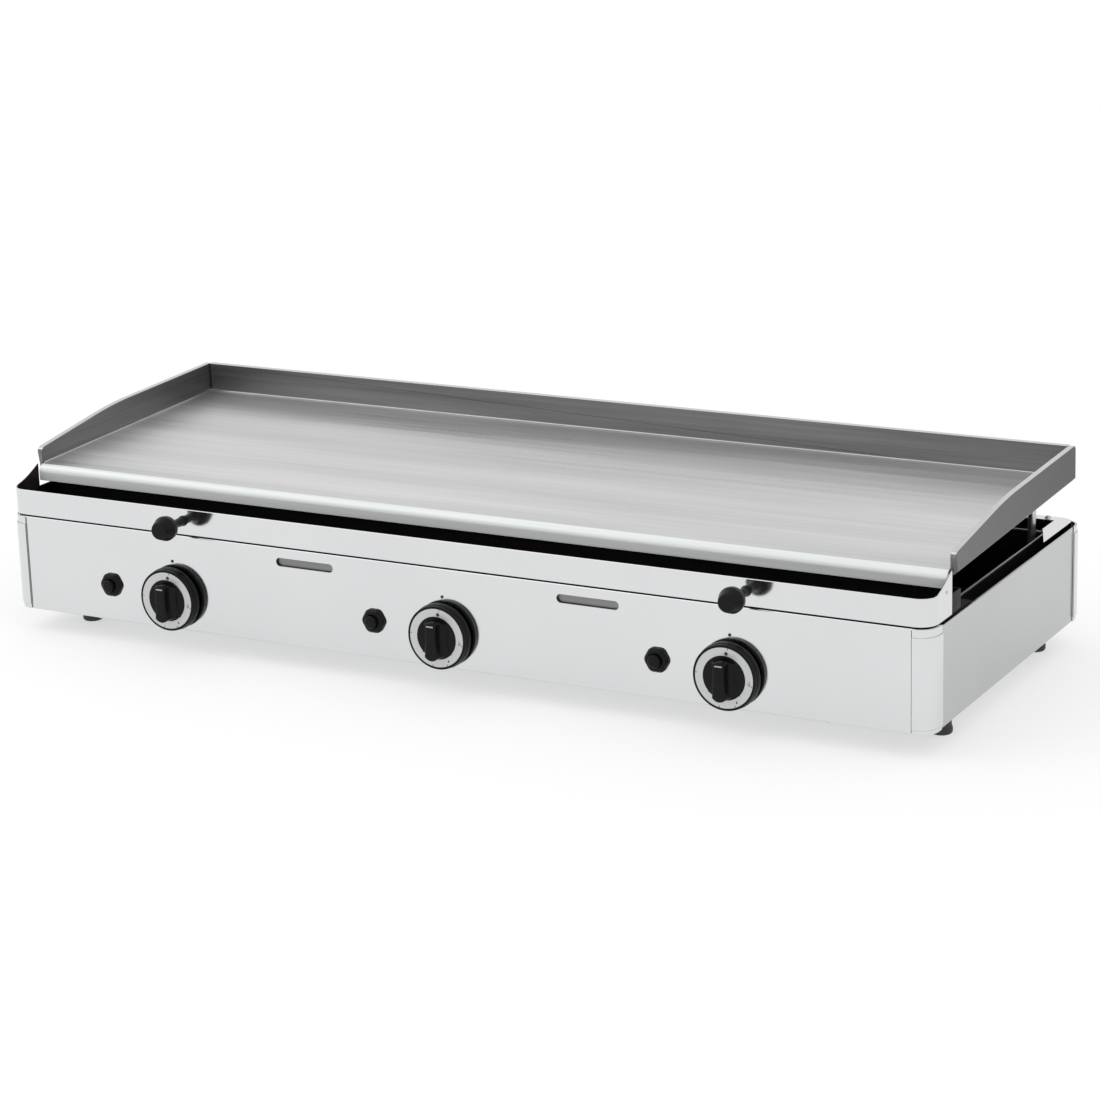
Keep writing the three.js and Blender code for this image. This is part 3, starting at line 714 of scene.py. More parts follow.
def build_sheets(s):
    t, bend, flange = s.sheet, s.bend, s.flange
    inside, cut = 0.5 * MM, 0.3 * MM
    section = rounded([
        (0, BOTTOM, bend), (0, TOP, bend), (flange, TOP, cut), (flange, TOP - t, cut),
        (t, TOP - t, inside), (t, BOTTOM + t, inside), (flange, BOTTOM + t, cut),
        (flange, BOTTOM, cut)])
    holes = [punch(stadium(s.slot_long, s.slot_tall), x, BOTTOM + s.slot_level, FRONT)
             for x in s.slot_at]
    spindle_hole, igniter_hole = 7 * MM, 9 * MM
    for end in ENDS:
        for node, radius in (("valve_spindle_", spindle_hole), ("igniter_button_", igniter_hole)):
            spot = middle(node + end)
            holes.append(punch(circle(radius), spot.x, spot.z, FRONT))
    seam, seam_half, seam_end = HALF - s.corner - 1.9 * MM, 0.3 * MM, 1.5 * MM
    groove = oblong(-seam_half, seam_end, seam_half, TOP - BOTTOM - seam_end)
    holes += [punch(groove, x, BOTTOM, FRONT) for x in (-seam, seam)]
    path = front_path(s.corner, (s.wrap, (s.wrap + s.corner) / 2))
    piece("front_sheet", follow(path, section), "root", polished_steel, ["front_panel"],
          joined(*holes))

    top = high("rear_panel").z
    section = rounded([
        (0, BOTTOM, bend), (0, top, 0.4 * MM), (t, top, 0.4 * MM), (t, BOTTOM + t, inside),
        (flange, BOTTOM + t, cut), (flange, BOTTOM, cut)])
    vent, vent_step, vent_level = stadium(40 * MM, 8 * MM), 70 * MM, BOTTOM + 60 * MM
    vents = [punch(vent, i * vent_step, vent_level, BACK, True) for i in range(-4, 5)]
    inlet, inlet_hole = middle("gas_inlet_nut"), 12 * MM
    vents.append(punch(circle(inlet_hole), inlet.x, inlet.z, BACK))
    piece("rear_sheet", moved(follow(path, section), end_for_end()), "root", polished_steel,
          ["rear_panel"], joined(*vents))

    hem, lip = 8.5 * MM, 14 * MM
    top = high("side_panel_right").z
    section = rounded([
        (0, BOTTOM, bend), (0, top, 0.9 * MM), (2 * t, top, 0.9 * MM), (2 * t, top - hem, 0.2 * MM),
        (t, top - hem, 0.1 * MM), (t, BOTTOM + t, inside), (lip, BOTTOM + t, cut),
        (lip, BOTTOM, cut)])
    for side, name in SIDES:
        y0, y1 = low("side_panel_" + name).y, high("side_panel_" + name).y
        run = [(Vector((side * HALF, y, 0)), Vector((-side, 0, 0)), 0) for y in (y0, y1)]
        piece("side_sheet_" + name, follow(run, section), "root", side_steel,
              ["side_panel_" + name])


def build_slot_screens(s):
    """Plates that close the view through the sight slots, just behind the front sheet; their grey is
    painted shade for the dim inside seen through the slots.
    """
    wide, tall, level = 0.5 * s.slot_long + 6 * MM, 9 * MM, BOTTOM + s.slot_level
    outline = oblong(-wide, -tall, wide, tall, 2 * MM)
    screens = []
    for x in s.slot_at:
        screens.append(slab(outline, FRONT + 3.2 * MM, FRONT + 4 * MM, 0.2 * MM, 0.2 * MM,
                            lambda across, rise, y, x=x: Vector((x + across, y, level + rise))))
    piece("slot_screens", joined(*screens), "root", guard_steel)


def build_corner_covers(s):
    """Covers with a raised part between two fine grooves."""
    gap, thick, step, line, bed = 0.3 * MM, s.cover, 0.6 * MM, 0.9 * MM, 0.1 * MM
    for row, end in CORNERS:
        node = f"corner_trim_{row}_{end}"
        top = (TOP if row == "front" else high("rear_panel").z) - gap
        foot, head = BOTTOM + s.cover_low, BOTTOM + s.cover_high
        section = rounded([
            (0, BOTTOM + gap), (-step, BOTTOM + gap, 0.2 * MM), (-step, foot - line),
            (-bed, foot - line), (-bed, foot), (-thick, foot, 0.3 * MM),
            (-thick, head, 0.3 * MM), (-bed, head), (-bed, head + line),
            (-step, head + line), (-step, top, 0.2 * MM), (0, top)], 0.2 * MM)
        section = [point - Vector((gap, 0)) for point in section]
        run = front_path(s.corner, (s.corner + 6 * MM,))
        run = run[:len(run) // 2]
        last = run[-1]
        run.append((last[0] + Vector((1 * MM, 0, 0)), last[1], last[2]))
        shell = follow(run, section)
        if row == "rear":
            shell = moved(shell, end_for_end())
        if (end == "right") == (row == "front"):
            shell = moved(shell, Matrix.Diagonal((-1, 1, 1, 1)))
        piece(f"corner_cover_{row}_{end}", shell, "root", polished_steel, [node])


# ------------------------------------------------------------------ plate and guards
def plate_frame(s):
    """The plate's own frame: y back from the nose, z up from its top face."""
    lowest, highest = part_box("griddle_plate")
    end = s.run - s.guard - s.gap
    nose_y = lowest.y - s.nose * math.sin(s.tilt)
    nose_z = highest.z - end * math.sin(s.tilt)
    return Matrix.Translation((0, nose_y, nose_z)) @ Matrix.Rotation(s.tilt, 4, "X")


def build_plate(s):
    lie = plate_frame(s)
    inner = high("griddle_plate").x
    end = s.run - s.guard - s.gap
    soft = 0.5 * MM
    profile = rounded([
        (end, 0, soft), (end, -s.thick, soft), (s.thick, -s.thick, s.nose - s.thick),
        (s.thick, -s.drop, soft), (0, -s.drop, soft), (0, 0, s.nose)], 0.8 * MM)
    rings = [[Vector((x, p.x, p.y)) for p in profile] for x in (-inner, inner)]
    ahead = lie.to_3x3() @ Vector((0, -1, 0))
    # Faces that look ahead get the nose's finish, painted lighter as painted light.
    piece("cooking_plate", moved(skin(rings), lie), "griddle", (brushed_plate, dressed_nose),
          ["griddle_plate"], soften=0.35 * MM, choose=lambda face: face.normal.dot(ahead) > 0.08)

    back = s.run - s.guard
    bite = s.weld
    curve = [Vector((0, 0))]
    for k in range(9):
        turn = math.pi / 2 * k / 8
        curve.append(Vector((bite - bite * math.sin(turn), bite - bite * math.cos(turn))))
    strips = []
    rise = 0.02 * MM
    ends = (-inner + 0.2 * MM, inner - 0.2 * MM)
    strips.append(skin([[Vector((x, back - p.x, p.y + rise)) for p in curve] for x in ends]))
    for side in (-1, 1):
        ends = (s.guard_from + 1 * MM, back - 0.2 * MM)
        strips.append(skin([[Vector((side * (inner - p.x), y, p.y + rise)) for p in curve]
                            for y in ends]))
    piece("weld_fillets", moved(joined(*strips), lie), "griddle", ground_weld)


def side_outline(s):
    """Side view of a side guard, in the plate's frame."""
    y0, y1, top, front = s.guard_from, s.run, s.guard_tall, s.guard_low
    points = [Vector((y0, -s.thick))]
    points += bezier((y0, front - 5 * MM), (y0, front), (y0 + 5 * MM, front + 0.8 * MM), 8)
    points += bezier((100 * MM, 26.6 * MM), (134 * MM, top), (166 * MM, top), 16)
    points += bezier((y1 - 5 * MM, top), (y1, top), (y1, top - 5 * MM), 8)
    points += bezier((y1, 5 * MM - s.thick), (y1, -s.thick), (y1 - 5 * MM, -s.thick), 8)
    return points


def bezier(start, pull, end, pieces):
    a, b, c = Vector(start), Vector(pull), Vector(end)
    return [a * (1 - t) ** 2 + b * 2 * t * (1 - t) + c * t * t
            for t in (k / pieces for k in range(pieces + 1))]


def build_guards(s):
    lie = plate_frame(s)
    up = lie.to_3x3() @ Vector((0, 0, 1))
    half = high("side_guard_right").x
    outline = side_outline(s)

    def lower(lean):
        return s.lower_edge if lean.y < -0.7 else s.edge

    def which(face):
        """The top faces, bright steel as a painted highlight; the outer face, painted shade; or the
        rest.
        """
        if face.normal.dot(up) > 0.5:
            return 1
        return 2 if face.normal.x * face.center.x > 0.3 * abs(face.center.x) else 0

    for side, name in SIDES:
        shell = slab(outline, half, half - s.guard, lower, s.edge,
                     lambda across, rise, through: Vector((side * through, across, rise)))
        # The top faces get the bright steel as a painted highlight, and the outer face the darker
        # finish as painted shade.
        piece("splash_guard_" + name, moved(shell, lie), "griddle",
              (side_guard_steel, ground_edge, outer_guard_steel), ["side_guard_" + name],
              choose=which)
    inside = half - s.guard - s.gap
    outline = oblong(-inside, -s.thick, inside, s.guard_tall, 0.5 * MM)
    shell = slab(outline, s.run - s.guard, s.run, s.edge, s.edge,
                 lambda across, rise, through: Vector((across, through, rise)))
    # The back guard's top faces get the bright steel as a painted highlight.
    piece("splash_guard_back", moved(shell, lie), "griddle", (guard_steel, ground_edge),
          ["back_guard"], choose=lambda face: face.normal.dot(up) > 0.5)

    for row, end in CORNERS:
        node = f"plate_leg_{row}_{end}"
        spot, foot = middle(node), low(node).z
        tall = high(node).z - foot
        tip, shank, taper = 2 * MM, 4 * MM, 6.7 * MM
        profile = rounded([(0, 0), (tip, 0, 0.6 * MM), (shank, taper, 2 * MM),
                           (shank, tall, 0.2 * MM), (0, tall)])
        shell = turned(profile, (spot.x, spot.y, foot), forward=False, sides=32)
        piece(f"plate_post_{row}_{end}", shell, "griddle", ground_edge, [node])


# ------------------------------------------------------------------ grease drawer
def build_drawer(s, corner):
    """A face that wraps both corners and rises into an ear at each end, its rivets and grips."""
    floor = low("drawer_front").z
    t = s.sheet
    ear_from, ear_bend, bend_rise = 9 * MM, 25 * MM, 1.5 * MM
    ear_run = s.wrap + 1 * MM - ear_from

    def section(depth):
        # The ear's top is a curve with one pull point; k is the share of it at this depth.
        share = max(0.0, (depth - ear_from) / ear_run)
        pull = (ear_bend - ear_from) / ear_run
        k = (math.sqrt(pull * pull + (1 - 2 * pull) * share) - pull) / (1 - 2 * pull)
        top = floor + s.tall + 2 * k * (1 - k) * bend_rise + k * k * s.ear
        return rounded([(0, floor, 0.5 * MM), (0, top, 0.6 * MM), (t, top, 0.6 * MM),
                        (t, floor, 0.5 * MM)], 0.2 * MM)

    steps = 10
    depths = [s.wrap - (s.wrap - corner) * k / steps for k in range(steps)]
    # Faces that look inwards or backwards get the near-black finish: painted shade on the inner side of
    # the polished front.
    piece("drawer_face", follow(front_path(corner, depths, 24), section), "drawer",
          (polished_steel, burnt_steel), ["drawer_front"],
          choose=lambda face: face.normal.y > 0.3 or face.normal.x * face.center.x < 0)
    rivet_in, rivet_up = 35.5 * MM, 24 * MM
    studs = []
    for side in (-1, 1):
        dome = rounded([(0, -0.4 * MM), (s.rivet, -0.4 * MM), (s.rivet, 0.25 * MM, 0.2 * MM),
                        (0.7 * s.rivet, 0.8 * MM, 0.8 * MM), (0, 0.95 * MM)], 0.15 * MM)
        stud = turned(dome, (0, 0, 0), forward=False, sides=28)
        turn = Matrix.Rotation(side * math.pi / 2, 4, "Y")
        spot = Matrix.Translation((side * HALF, FRONT + rivet_in, floor + rivet_up))
        studs.append(moved(stud, spot @ turn))
    piece("drawer_rivets", joined(*studs), "drawer", screw_steel)

    for _, end in SIDES:
        node = "drawer_handle_" + end
        spot, reach = middle(node), FRONT - low(node).y
        grip = [(0, 0.3 * MM, 0), (5.4 * MM, 0.3 * MM, 0.4 * MM), (4.4 * MM, 4 * MM, 3 * MM),
                (4.2 * MM, 13 * MM, 7 * MM), (6.8 * MM, 20.5 * MM, 5 * MM),
                (11.6 * MM, 24.5 * MM, 3.5 * MM), (12.6 * MM, 31 * MM, 7 * MM),
                (8.6 * MM, reach - 1.2 * MM, 2.5 * MM), (7.6 * MM, reach, 0.5 * MM), (0, reach, 0)]
        shell = turned(rounded(grip), (spot.x, FRONT, spot.z))
        piece("drawer_grip_" + end, shell, "drawer", black_plastic, [node])


# ------------------------------------------------------------------ knobs and igniters
def dial_point(x, z, y, radius, clock):
    """A point on the dial, clock degrees clockwise from the top as seen from the front."""
    turn = math.radians(clock)
    return Vector((x + radius * math.sin(turn), y, z + radius * math.cos(turn)))


def chip(outline, x, z, y, thick):
    """A thin flat mark that stands just proud of a face at y."""
    return skin([[Vector((x + p.x, y - out, z + p.y)) for p in outline] for out in (0, thick)])


def ringlet(outline, x, z, y, width, thick):
    """A thin line that follows a closed outline on a face at y."""
    middle_point = sum(outline, Vector((0, 0))) / len(outline)
    rings = []
    for point in outline:
        inner = point + (middle_point - point).normalized() * width
        rings.append([Vector((x + p.x, y - out, z + p.y))
                      for p, out in ((point, 0), (point, thick), (inner, thick), (inner, 0))])
    return skin(rings, closed=True)


def flame(size):
    """Outline of a small flame, pointed at the top."""
    return (bezier((0, 1.5 * size), (0.9 * size, 0.3 * size), (0.75 * size, -0.5 * size), 6)
            + bezier((0.6 * size, -size), (0, -1.3 * size), (-0.6 * size, -size), 6)
            + bezier((-0.75 * size, -0.5 * size), (-0.9 * size, 0.3 * size), (0, 1.5 * size), 6)[:-1])


def build_knob(s, end):
    """A skirt that holds the dial's foil, and a waisted grip with a white bar at its top end, partly a
    pointer mark and partly a painted highlight on the grip's top edge.
    """
    spot = middle("knob_" + end)
    x, z = spot.x, spot.z
    face, skirt = s.face, s.skirt
    body = rounded([
        (0, 3 * MM), (skirt - 1.4 * MM, 3 * MM, 0.5 * MM), (skirt, 4.2 * MM, 1 * MM),
        (skirt, 6 * MM, 2 * MM), (skirt - 0.5 * MM, face - 4.2 * MM, 0.3 * MM),
        (skirt - 1.4 * MM, face - 3.8 * MM, 0.2 * MM), (skirt - 1.4 * MM, face - 3.2 * MM, 0.2 * MM),
        (skirt - 0.8 * MM, face - 2.8 * MM, 0.5 * MM), (skirt - 1.0 * MM, face - 0.2 * MM, 0.6 * MM),
        (s.dial + 0.9 * MM, face + 0.2 * MM, 0.4 * MM), (s.dial + 0.15 * MM, face + 0.1 * MM, 0.1 * MM),
        (s.dial + 0.15 * MM, face - 0.8 * MM, 0), (s.boss - 0.2 * MM, face - 0.8 * MM, 0),
        (s.boss - 0.2 * MM, face + 0.5 * MM, 0.4 * MM), (0, face + 0.7 * MM)], 0.35 * MM)
    seat = turned(body, (x, FRONT, z), sides=96)

    plan = (bezier((-7.2 * MM, -16.5 * MM), (0, -23.5 * MM), (7.2 * MM, -16.5 * MM), 12)
            + bezier((7.2 * MM, -16 * MM), (4.4 * MM, 0), (6.2 * MM, 16 * MM), 12)[1:-1]
            + bezier((6.2 * MM, 16 * MM), (0, 20.5 * MM), (-6.2 * MM, 16 * MM), 12)
            + bezier((-6.2 * MM, 16 * MM), (-4.4 * MM, 0), (-7.2 * MM, -16 * MM), 12)[1:-1])
    # Each level: its height in twelfths of the grip's, then the plan's width and length there.
    tall = (s.grip - face) / 12
    levels = ((-0.6, 2.3, 0.90), (0.35, 2.15, 0.91), (0.9, 1.85, 0.93), (1.6, 1.60, 0.96),
              (2.6, 1.36, 0.98), (4.0, 1.18, 1.0), (6.0, 1.06, 1.0), (8.5, 1.0, 1.0),
              (10.6, 0.98, 1.0), (11.4, 0.94, 0.985), (11.9, 0.85, 0.965), (12.0, 0.72, 0.94))
    rings = []
    for level, wide, long in levels:
        reach = face + level * tall
        rings.append([Vector((x + p.x * wide, FRONT - reach, z + p.y * long)) for p in plan])
    grip = skin(rings)
    piece("knob_moulding_" + end, joined(seat, grip), "dial_" + end, black_plastic,
          ["knob_" + end])

    foil = oblong(s.boss, face - 0.7 * MM, s.dial, face - 0.05 * MM)
    piece("dial_foil_" + end, turned(foil, (x, FRONT, z), sides=96), "dial_" + end, dial_face,
          ["dial_ring_" + end])

    # A dot for off, an open flame for full, a small one for low, and ticks.
    y, thick = FRONT - face + 0.05 * MM, 0.06 * MM
    marks = []
    at = dial_point(x, z, y, 23.4 * MM, 6)
    marks.append(chip(circle(1.8 * MM, 24), at.x, at.z, y, thick))
    at = dial_point(x, z, y, 25 * MM, 96)
    marks.append(ringlet(flame(1.7 * MM), at.x, at.z, y, 0.4 * MM, thick))
    marks.append(chip(circle(0.5 * MM, 12), at.x, at.z - 0.6 * MM, y, thick))
    at = dial_point(x, z, y, 25 * MM, 150)
    marks.append(chip(flame(1.0 * MM), at.x, at.z, y, thick))
    for clock in (8, 100, 157, 190, 275):
        tick = dial_point(x, z, y, s.dial - 0.9 * MM, clock)
        turn = Matrix.Rotation(-math.radians(clock), 2)
        bar = [turn @ p for p in oblong(-0.3 * MM, -0.9 * MM, 0.3 * MM, 0.8 * MM)]
        marks.append(chip(bar, tick.x, tick.z, y, thick))
    piece("dial_marks_" + end, joined(*marks), "dial_" + end, printed_ink)

    # The white bar is partly a pointer mark, partly a painted highlight on the grip's top edge.
    bar = oblong(-3.8 * MM, -0.7 * MM, 3.8 * MM, 0.7 * MM, 0.6 * MM, 0.2 * MM)
    pointer = chip(bar, x, z + 14.4 * MM, FRONT - s.grip + 0.2 * MM, 0.28 * MM)
    piece("knob_pointer_" + end, pointer, "dial_" + end, white_mark)


def build_index_pins(s):
    pins = []
    for end in ENDS:
        spot = middle("knob_" + end)
        dome = rounded([(0, -0.5 * MM), (s.pin, -0.5 * MM), (s.pin, 0.5 * MM, 0.3 * MM),
                        (0.7 * s.pin, 1.1 * MM, 0.6 * MM), (0, 1.2 * MM)], 0.15 * MM)
        pins.append(turned(dome, (spot.x, FRONT, spot.z + s.pin_rise), sides=28))
    piece("index_pins", joined(*pins), "root", printed_ink)


def build_igniter(end):
    """A lobed bezel with its barrel and lock nut, and the button's cap."""
    node = "igniter_body_" + end
    spot = middle("igniter_button_" + end)
    bore, outer, inside = 6.8 * MM, 8.6 * MM, -43.5 * MM

    def lobes(radius, turn):
        if radius < bore + 1 * MM:
            return radius
        return radius * (1 + 0.035 * math.cos(6 * turn))

    bezel = rounded([(bore, 0.3 * MM, 0.1 * MM), (12 * MM, 0.3 * MM, 0.2 * MM),
                     (12 * MM, 2.4 * MM, 1 * MM), (9.8 * MM, 5 * MM, 1.4 * MM),
                     (bore, 5 * MM, 0.5 * MM)], 0.3 * MM)
    barrel = rounded([(bore, inside, 0.3 * MM), (outer, inside, 0.6 * MM),
                      (outer, 1 * MM), (bore, 1 * MM)], 0.3 * MM)
    lock = oblong(8.4 * MM, -6 * MM, 11.8 * MM, -1.6 * MM, 0.4 * MM, 0.3 * MM)
    shell = joined(turned(bezel, (spot.x, FRONT, spot.z), sides=72, bulge=lobes),
                   turned(barrel, (spot.x, FRONT, spot.z), sides=48),
                   turned(lock, (spot.x, FRONT, spot.z), sides=48, bulge=lobes))
    piece("igniter_bezel_" + end, shell, "root", black_plastic, [node])
    cap = rounded([(0, -4 * MM), (6.4 * MM, -4 * MM, 0.3 * MM), (6.4 * MM, 8.6 * MM, 1.6 * MM),
                   (3.6 * MM, 9.6 * MM, 1.8 * MM), (0, 9.2 * MM)], 0.3 * MM)
    piece("igniter_cap_" + end, turned(cap, (spot.x, FRONT, spot.z), sides=48),
          "button_" + end, black_plastic, ["igniter_button_" + end])


def build_feet():
    for row, end in CORNERS:
        node = f"foot_{row}_{end}"
        spot, tall = middle(node), high(node).z
        profile = rounded([
            (0, 0), (9.2 * MM, 0, 0.6 * MM), (10.4 * MM, 1.6 * MM, 1 * MM),
            (10.4 * MM, 5.4 * MM, 1.2 * MM), (9.4 * MM, 8 * MM, 1 * MM), (9.3 * MM, 13 * MM, 2 * MM),
            (10.2 * MM, 18 * MM, 1 * MM), (12 * MM, 20.6 * MM, 0.8 * MM), (12 * MM, tall, 0.2 * MM),
            (0, tall)], 0.4 * MM)
        shell = turned(profile, (spot.x, spot.y, 0), forward=False, sides=48)
        piece(f"rubber_foot_{row}_{end}", shell, "root", black_rubber, [node])


# ------------------------------------------------------------------ what repeats
INTEGER, NUMBER, PLACE = "NodeSocketInt", "NodeSocketFloat", "NodeSocketVector"


def grown(name, grow, sizes, finish, body):
    """Runs a geometry tree with these named sizes, and keeps what it makes as a plain mesh."""
    tree = bpy.data.node_groups.new(name, "GeometryNodeTree")
    for label, (kind, value) in sizes.items():
        tree.interface.new_socket(label, in_out="INPUT", socket_type=kind)
    tree.interface.new_socket("Geometry", in_out="OUTPUT", socket_type="NodeSocketGeometry")
    g = Graph(tree)
    entry = tree.nodes.new("NodeGroupInput")
    wires = {label: Wire(g, entry.outputs[label]) for label in sizes}
    real = g.node("GeometryNodeRealizeInstances", None, {"Geometry": grow(g, wires)})
    painted = g.node("GeometryNodeSetMaterial", None,
                     {"Geometry": real, "Material": material(finish)})
    leave = tree.nodes.new("NodeGroupOutput")
    tree.links.new(painted.socket, leave.inputs[0])

    made = bpy.data.objects.new(name, bpy.data.meshes.new(name))
    bpy.context.scene.collection.objects.link(made)
    nodes = made.modifiers.new(name, "NODES")
    nodes.node_group = tree
    for item in tree.interface.items_tree:
        if item.in_out == "INPUT":
            nodes[item.identifier] = sizes[item.name][1]
    settle(made)
    return placed(made, body)


def screw_row(g, w):
    """Cross-head screws in a straight row."""
    head = g.node("GeometryNodeMeshCone", None, {
        "Vertices": 28, "Radius Bottom": w["Radius"], "Radius Top": w["Radius"] * 0.74,
        "Depth": w["Height"]})
    bars = []
    for long, wide in ((1.3, 0.26), (0.26, 1.3)):
        size = g.vector(w["Radius"] * long, w["Radius"] * wide, w["Height"])
        bar = g.node("GeometryNodeMeshCube", None, {"Size": size})
        bars.append(g.node("GeometryNodeTransform", None, {
            "Geometry": bar, "Translation": g.vector(0.0, 0.0, w["Height"] * 0.95)}))
    head = g.node("GeometryNodeMeshBoolean", {"operation": "DIFFERENCE"},
                  {"Mesh 1": head, "Mesh 2": bars})
    line = g.node("GeometryNodeMeshLine", None,
                  {"Count": w["Count"], "Start Location": w["Start"], "Offset": w["Step"]})
    facing = g.node("FunctionNodeEulerToRotation", None, {0: w["Facing"]})
    return g.node("GeometryNodeInstanceOnPoints", None,
                  {"Points": line, "Instance": head, "Rotation": facing})


def port_rows(g, w):
    """Dark discs, painted shade for the flame ports, along both tubes of every burner."""
    grid = g.node("GeometryNodeMeshGrid", None, {
        "Size X": w["Spread"], "Size Y": w["Run"], "Vertices X": 2, "Vertices Y": w["Ports"]})
    port = g.node("GeometryNodeMeshCylinder", None, {
        "Vertices": 12, "Radius": w["Radius"], "Depth": w["Radius"] * 0.5})
    burner = g.node("GeometryNodeInstanceOnPoints", None, {"Points": grid, "Instance": port})
    line = g.node("GeometryNodeMeshLine", None,
                  {"Count": 3, "Start Location": w["Start"], "Offset": w["Step"]})
    return g.node("GeometryNodeInstanceOnPoints", None, {"Points": line, "Instance": burner})


def screw_thread(g, w):
    """A ridge that winds round the inlet's tail."""
    path = g.node("GeometryNodeCurveSpiral", None, {
        "Resolution": 32, "Rotations": w["Turns"], "Start Radius": w["Radius"],
        "End Radius": w["Radius"], "Height": w["Length"]})
    ridge = g.node("GeometryNodeCurvePrimitiveCircle", None,
                   {"Resolution": 6, "Radius": w["Ridge"]})
    thread = g.node("GeometryNodeCurveToMesh", None,
                    {"Curve": path, "Profile Curve": ridge, "Fill Caps": True})
    smooth = g.node("GeometryNodeSetShadeSmooth", None, {"Geometry": thread})
    return g.node("GeometryNodeTransform", None, {
        "Geometry": smooth, "Translation": w["Start"], "Rotation": (-math.pi / 2, 0.0, 0.0)})


def build_fasteners():
    """Screws on the rim, the rear sheet and the base."""
    # Each row: its name, number, half length, depth, level, turn, and its heads' size.
    rows = (
        ("rim_screws", 5, 468 * MM, BACK - 6.5 * MM, high("rear_top_rim").z, 0, 3.6 * MM, 1.6 * MM),
        ("rear_screws", 5, 440 * MM, BACK, BOTTOM + 88 * MM, -math.pi / 2, 3.4 * MM, 1.6 * MM),
        ("base_screws", 2, 400 * MM, FRONT + 6 * MM, BOTTOM, math.pi, 3.2 * MM, 1.5 * MM))
    for name, number, half, depth, level, turn, radius, height in rows:
        grown(name, screw_row, {
            "Count": (INTEGER, number), "Start": (PLACE, (-half, depth, level)),
            "Step": (PLACE, (2 * half / (number - 1), 0, 0)), "Facing": (PLACE, (turn, 0, 0)),
            "Radius": (NUMBER, radius), "Height": (NUMBER, height)}, screw_steel, "root")


def build_burner_details(s):
    """A light strip on the burner box's top edge as a painted highlight, the flame ports and the
    inlet's thread.
    """
    lowest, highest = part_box("burner_box")
    wide = s.edging
    section = rounded([(-wide / 2, -1.2 * MM, 0.2 * MM), (-wide / 2, 0.6 * MM, 0.5 * MM),
                       (wide / 2, 0.6 * MM, 0.5 * MM), (wide / 2, -1.2 * MM, 0.2 * MM)], 0.3 * MM)
    wall = 0.6 * MM
    loop = oblong(lowest.x + wall, lowest.y + wall, highest.x - wall, highest.y - wall, 2 * MM)
    centre = middle("burner_box")
    rings = []
    for i, point in enumerate(loop):
        run = (loop[(i + 1) % len(loop)] - loop[i - 1]).normalized()
        inward = Vector((-run.y, run.x, 0))
        if inward.dot(Vector((centre.x - point.x, centre.y - point.y, 0))) < 0:
            inward = -inward
        rings.append([Vector((point.x, point.y, highest.z + up)) + inward * across
                      for across, up in section])
    piece("burner_box_edging", skin(rings, closed=True), "root", galvanised_sheet)

    level = high("burner_centre").z - 1.5 * MM
    burner_step, burner_depth, ports_run = 318 * MM, 215 * MM, 222 * MM
    grown("burner_ports", port_rows, {
        "Ports": (INTEGER, s.ports), "Spread": (NUMBER, s.spread), "Run": (NUMBER, ports_run),
        "Radius": (NUMBER, s.port), "Start": (PLACE, (-burner_step, FRONT + burner_depth, level)),
        "Step": (PLACE, (burner_step, 0, 0))}, port_black, "root")
    nut, tail = high("gas_inlet_nut"), high("gas_inlet")
    inlet = middle("gas_inlet_nut")
    grown("inlet_thread", screw_thread, {
        "Turns": (NUMBER, s.thread_turns), "Radius": (NUMBER, s.tail), "Ridge": (NUMBER, s.ridge),
        "Length": (NUMBER, tail.y - nut.y - 2.5 * MM),
        "Start": (PLACE, (inlet.x, nut.y + 1 * MM, inlet.z))}, brass_fitting, "root")


# ------------------------------------------------------------------ nodes that stay as they are
CARRIED = {
    galvanised_sheet: ("base_pan", "gas_manifold", "pilot_left", "pilot_centre", "pilot_right"),
    # The burner box, grease pan and runners are near-black, partly burnt steel and partly painted
    # shade.
    burnt_steel: ("burner_box", "grease_pan", "drawer_runner_left", "drawer_runner_right"),
    cast_burner: ("plate_rail_left", "plate_rail_right", "burner_left", "burner_centre",
                  "burner_right"),
    brass_fitting: ("gas_inlet", "gas_inlet_nut", "gas_valve_left", "gas_valve_centre",
                    "gas_valve_right", "valve_spindle_left", "valve_spindle_centre",
                    "valve_spindle_right"),
    polished_steel: ("rear_top_rim",),
}


def dress_nodes():
    for finish, names in CARRIED.items():
        for name in names:
            slots = NODES[name].data.materials
            slots.clear()
            slots.append(material(finish))


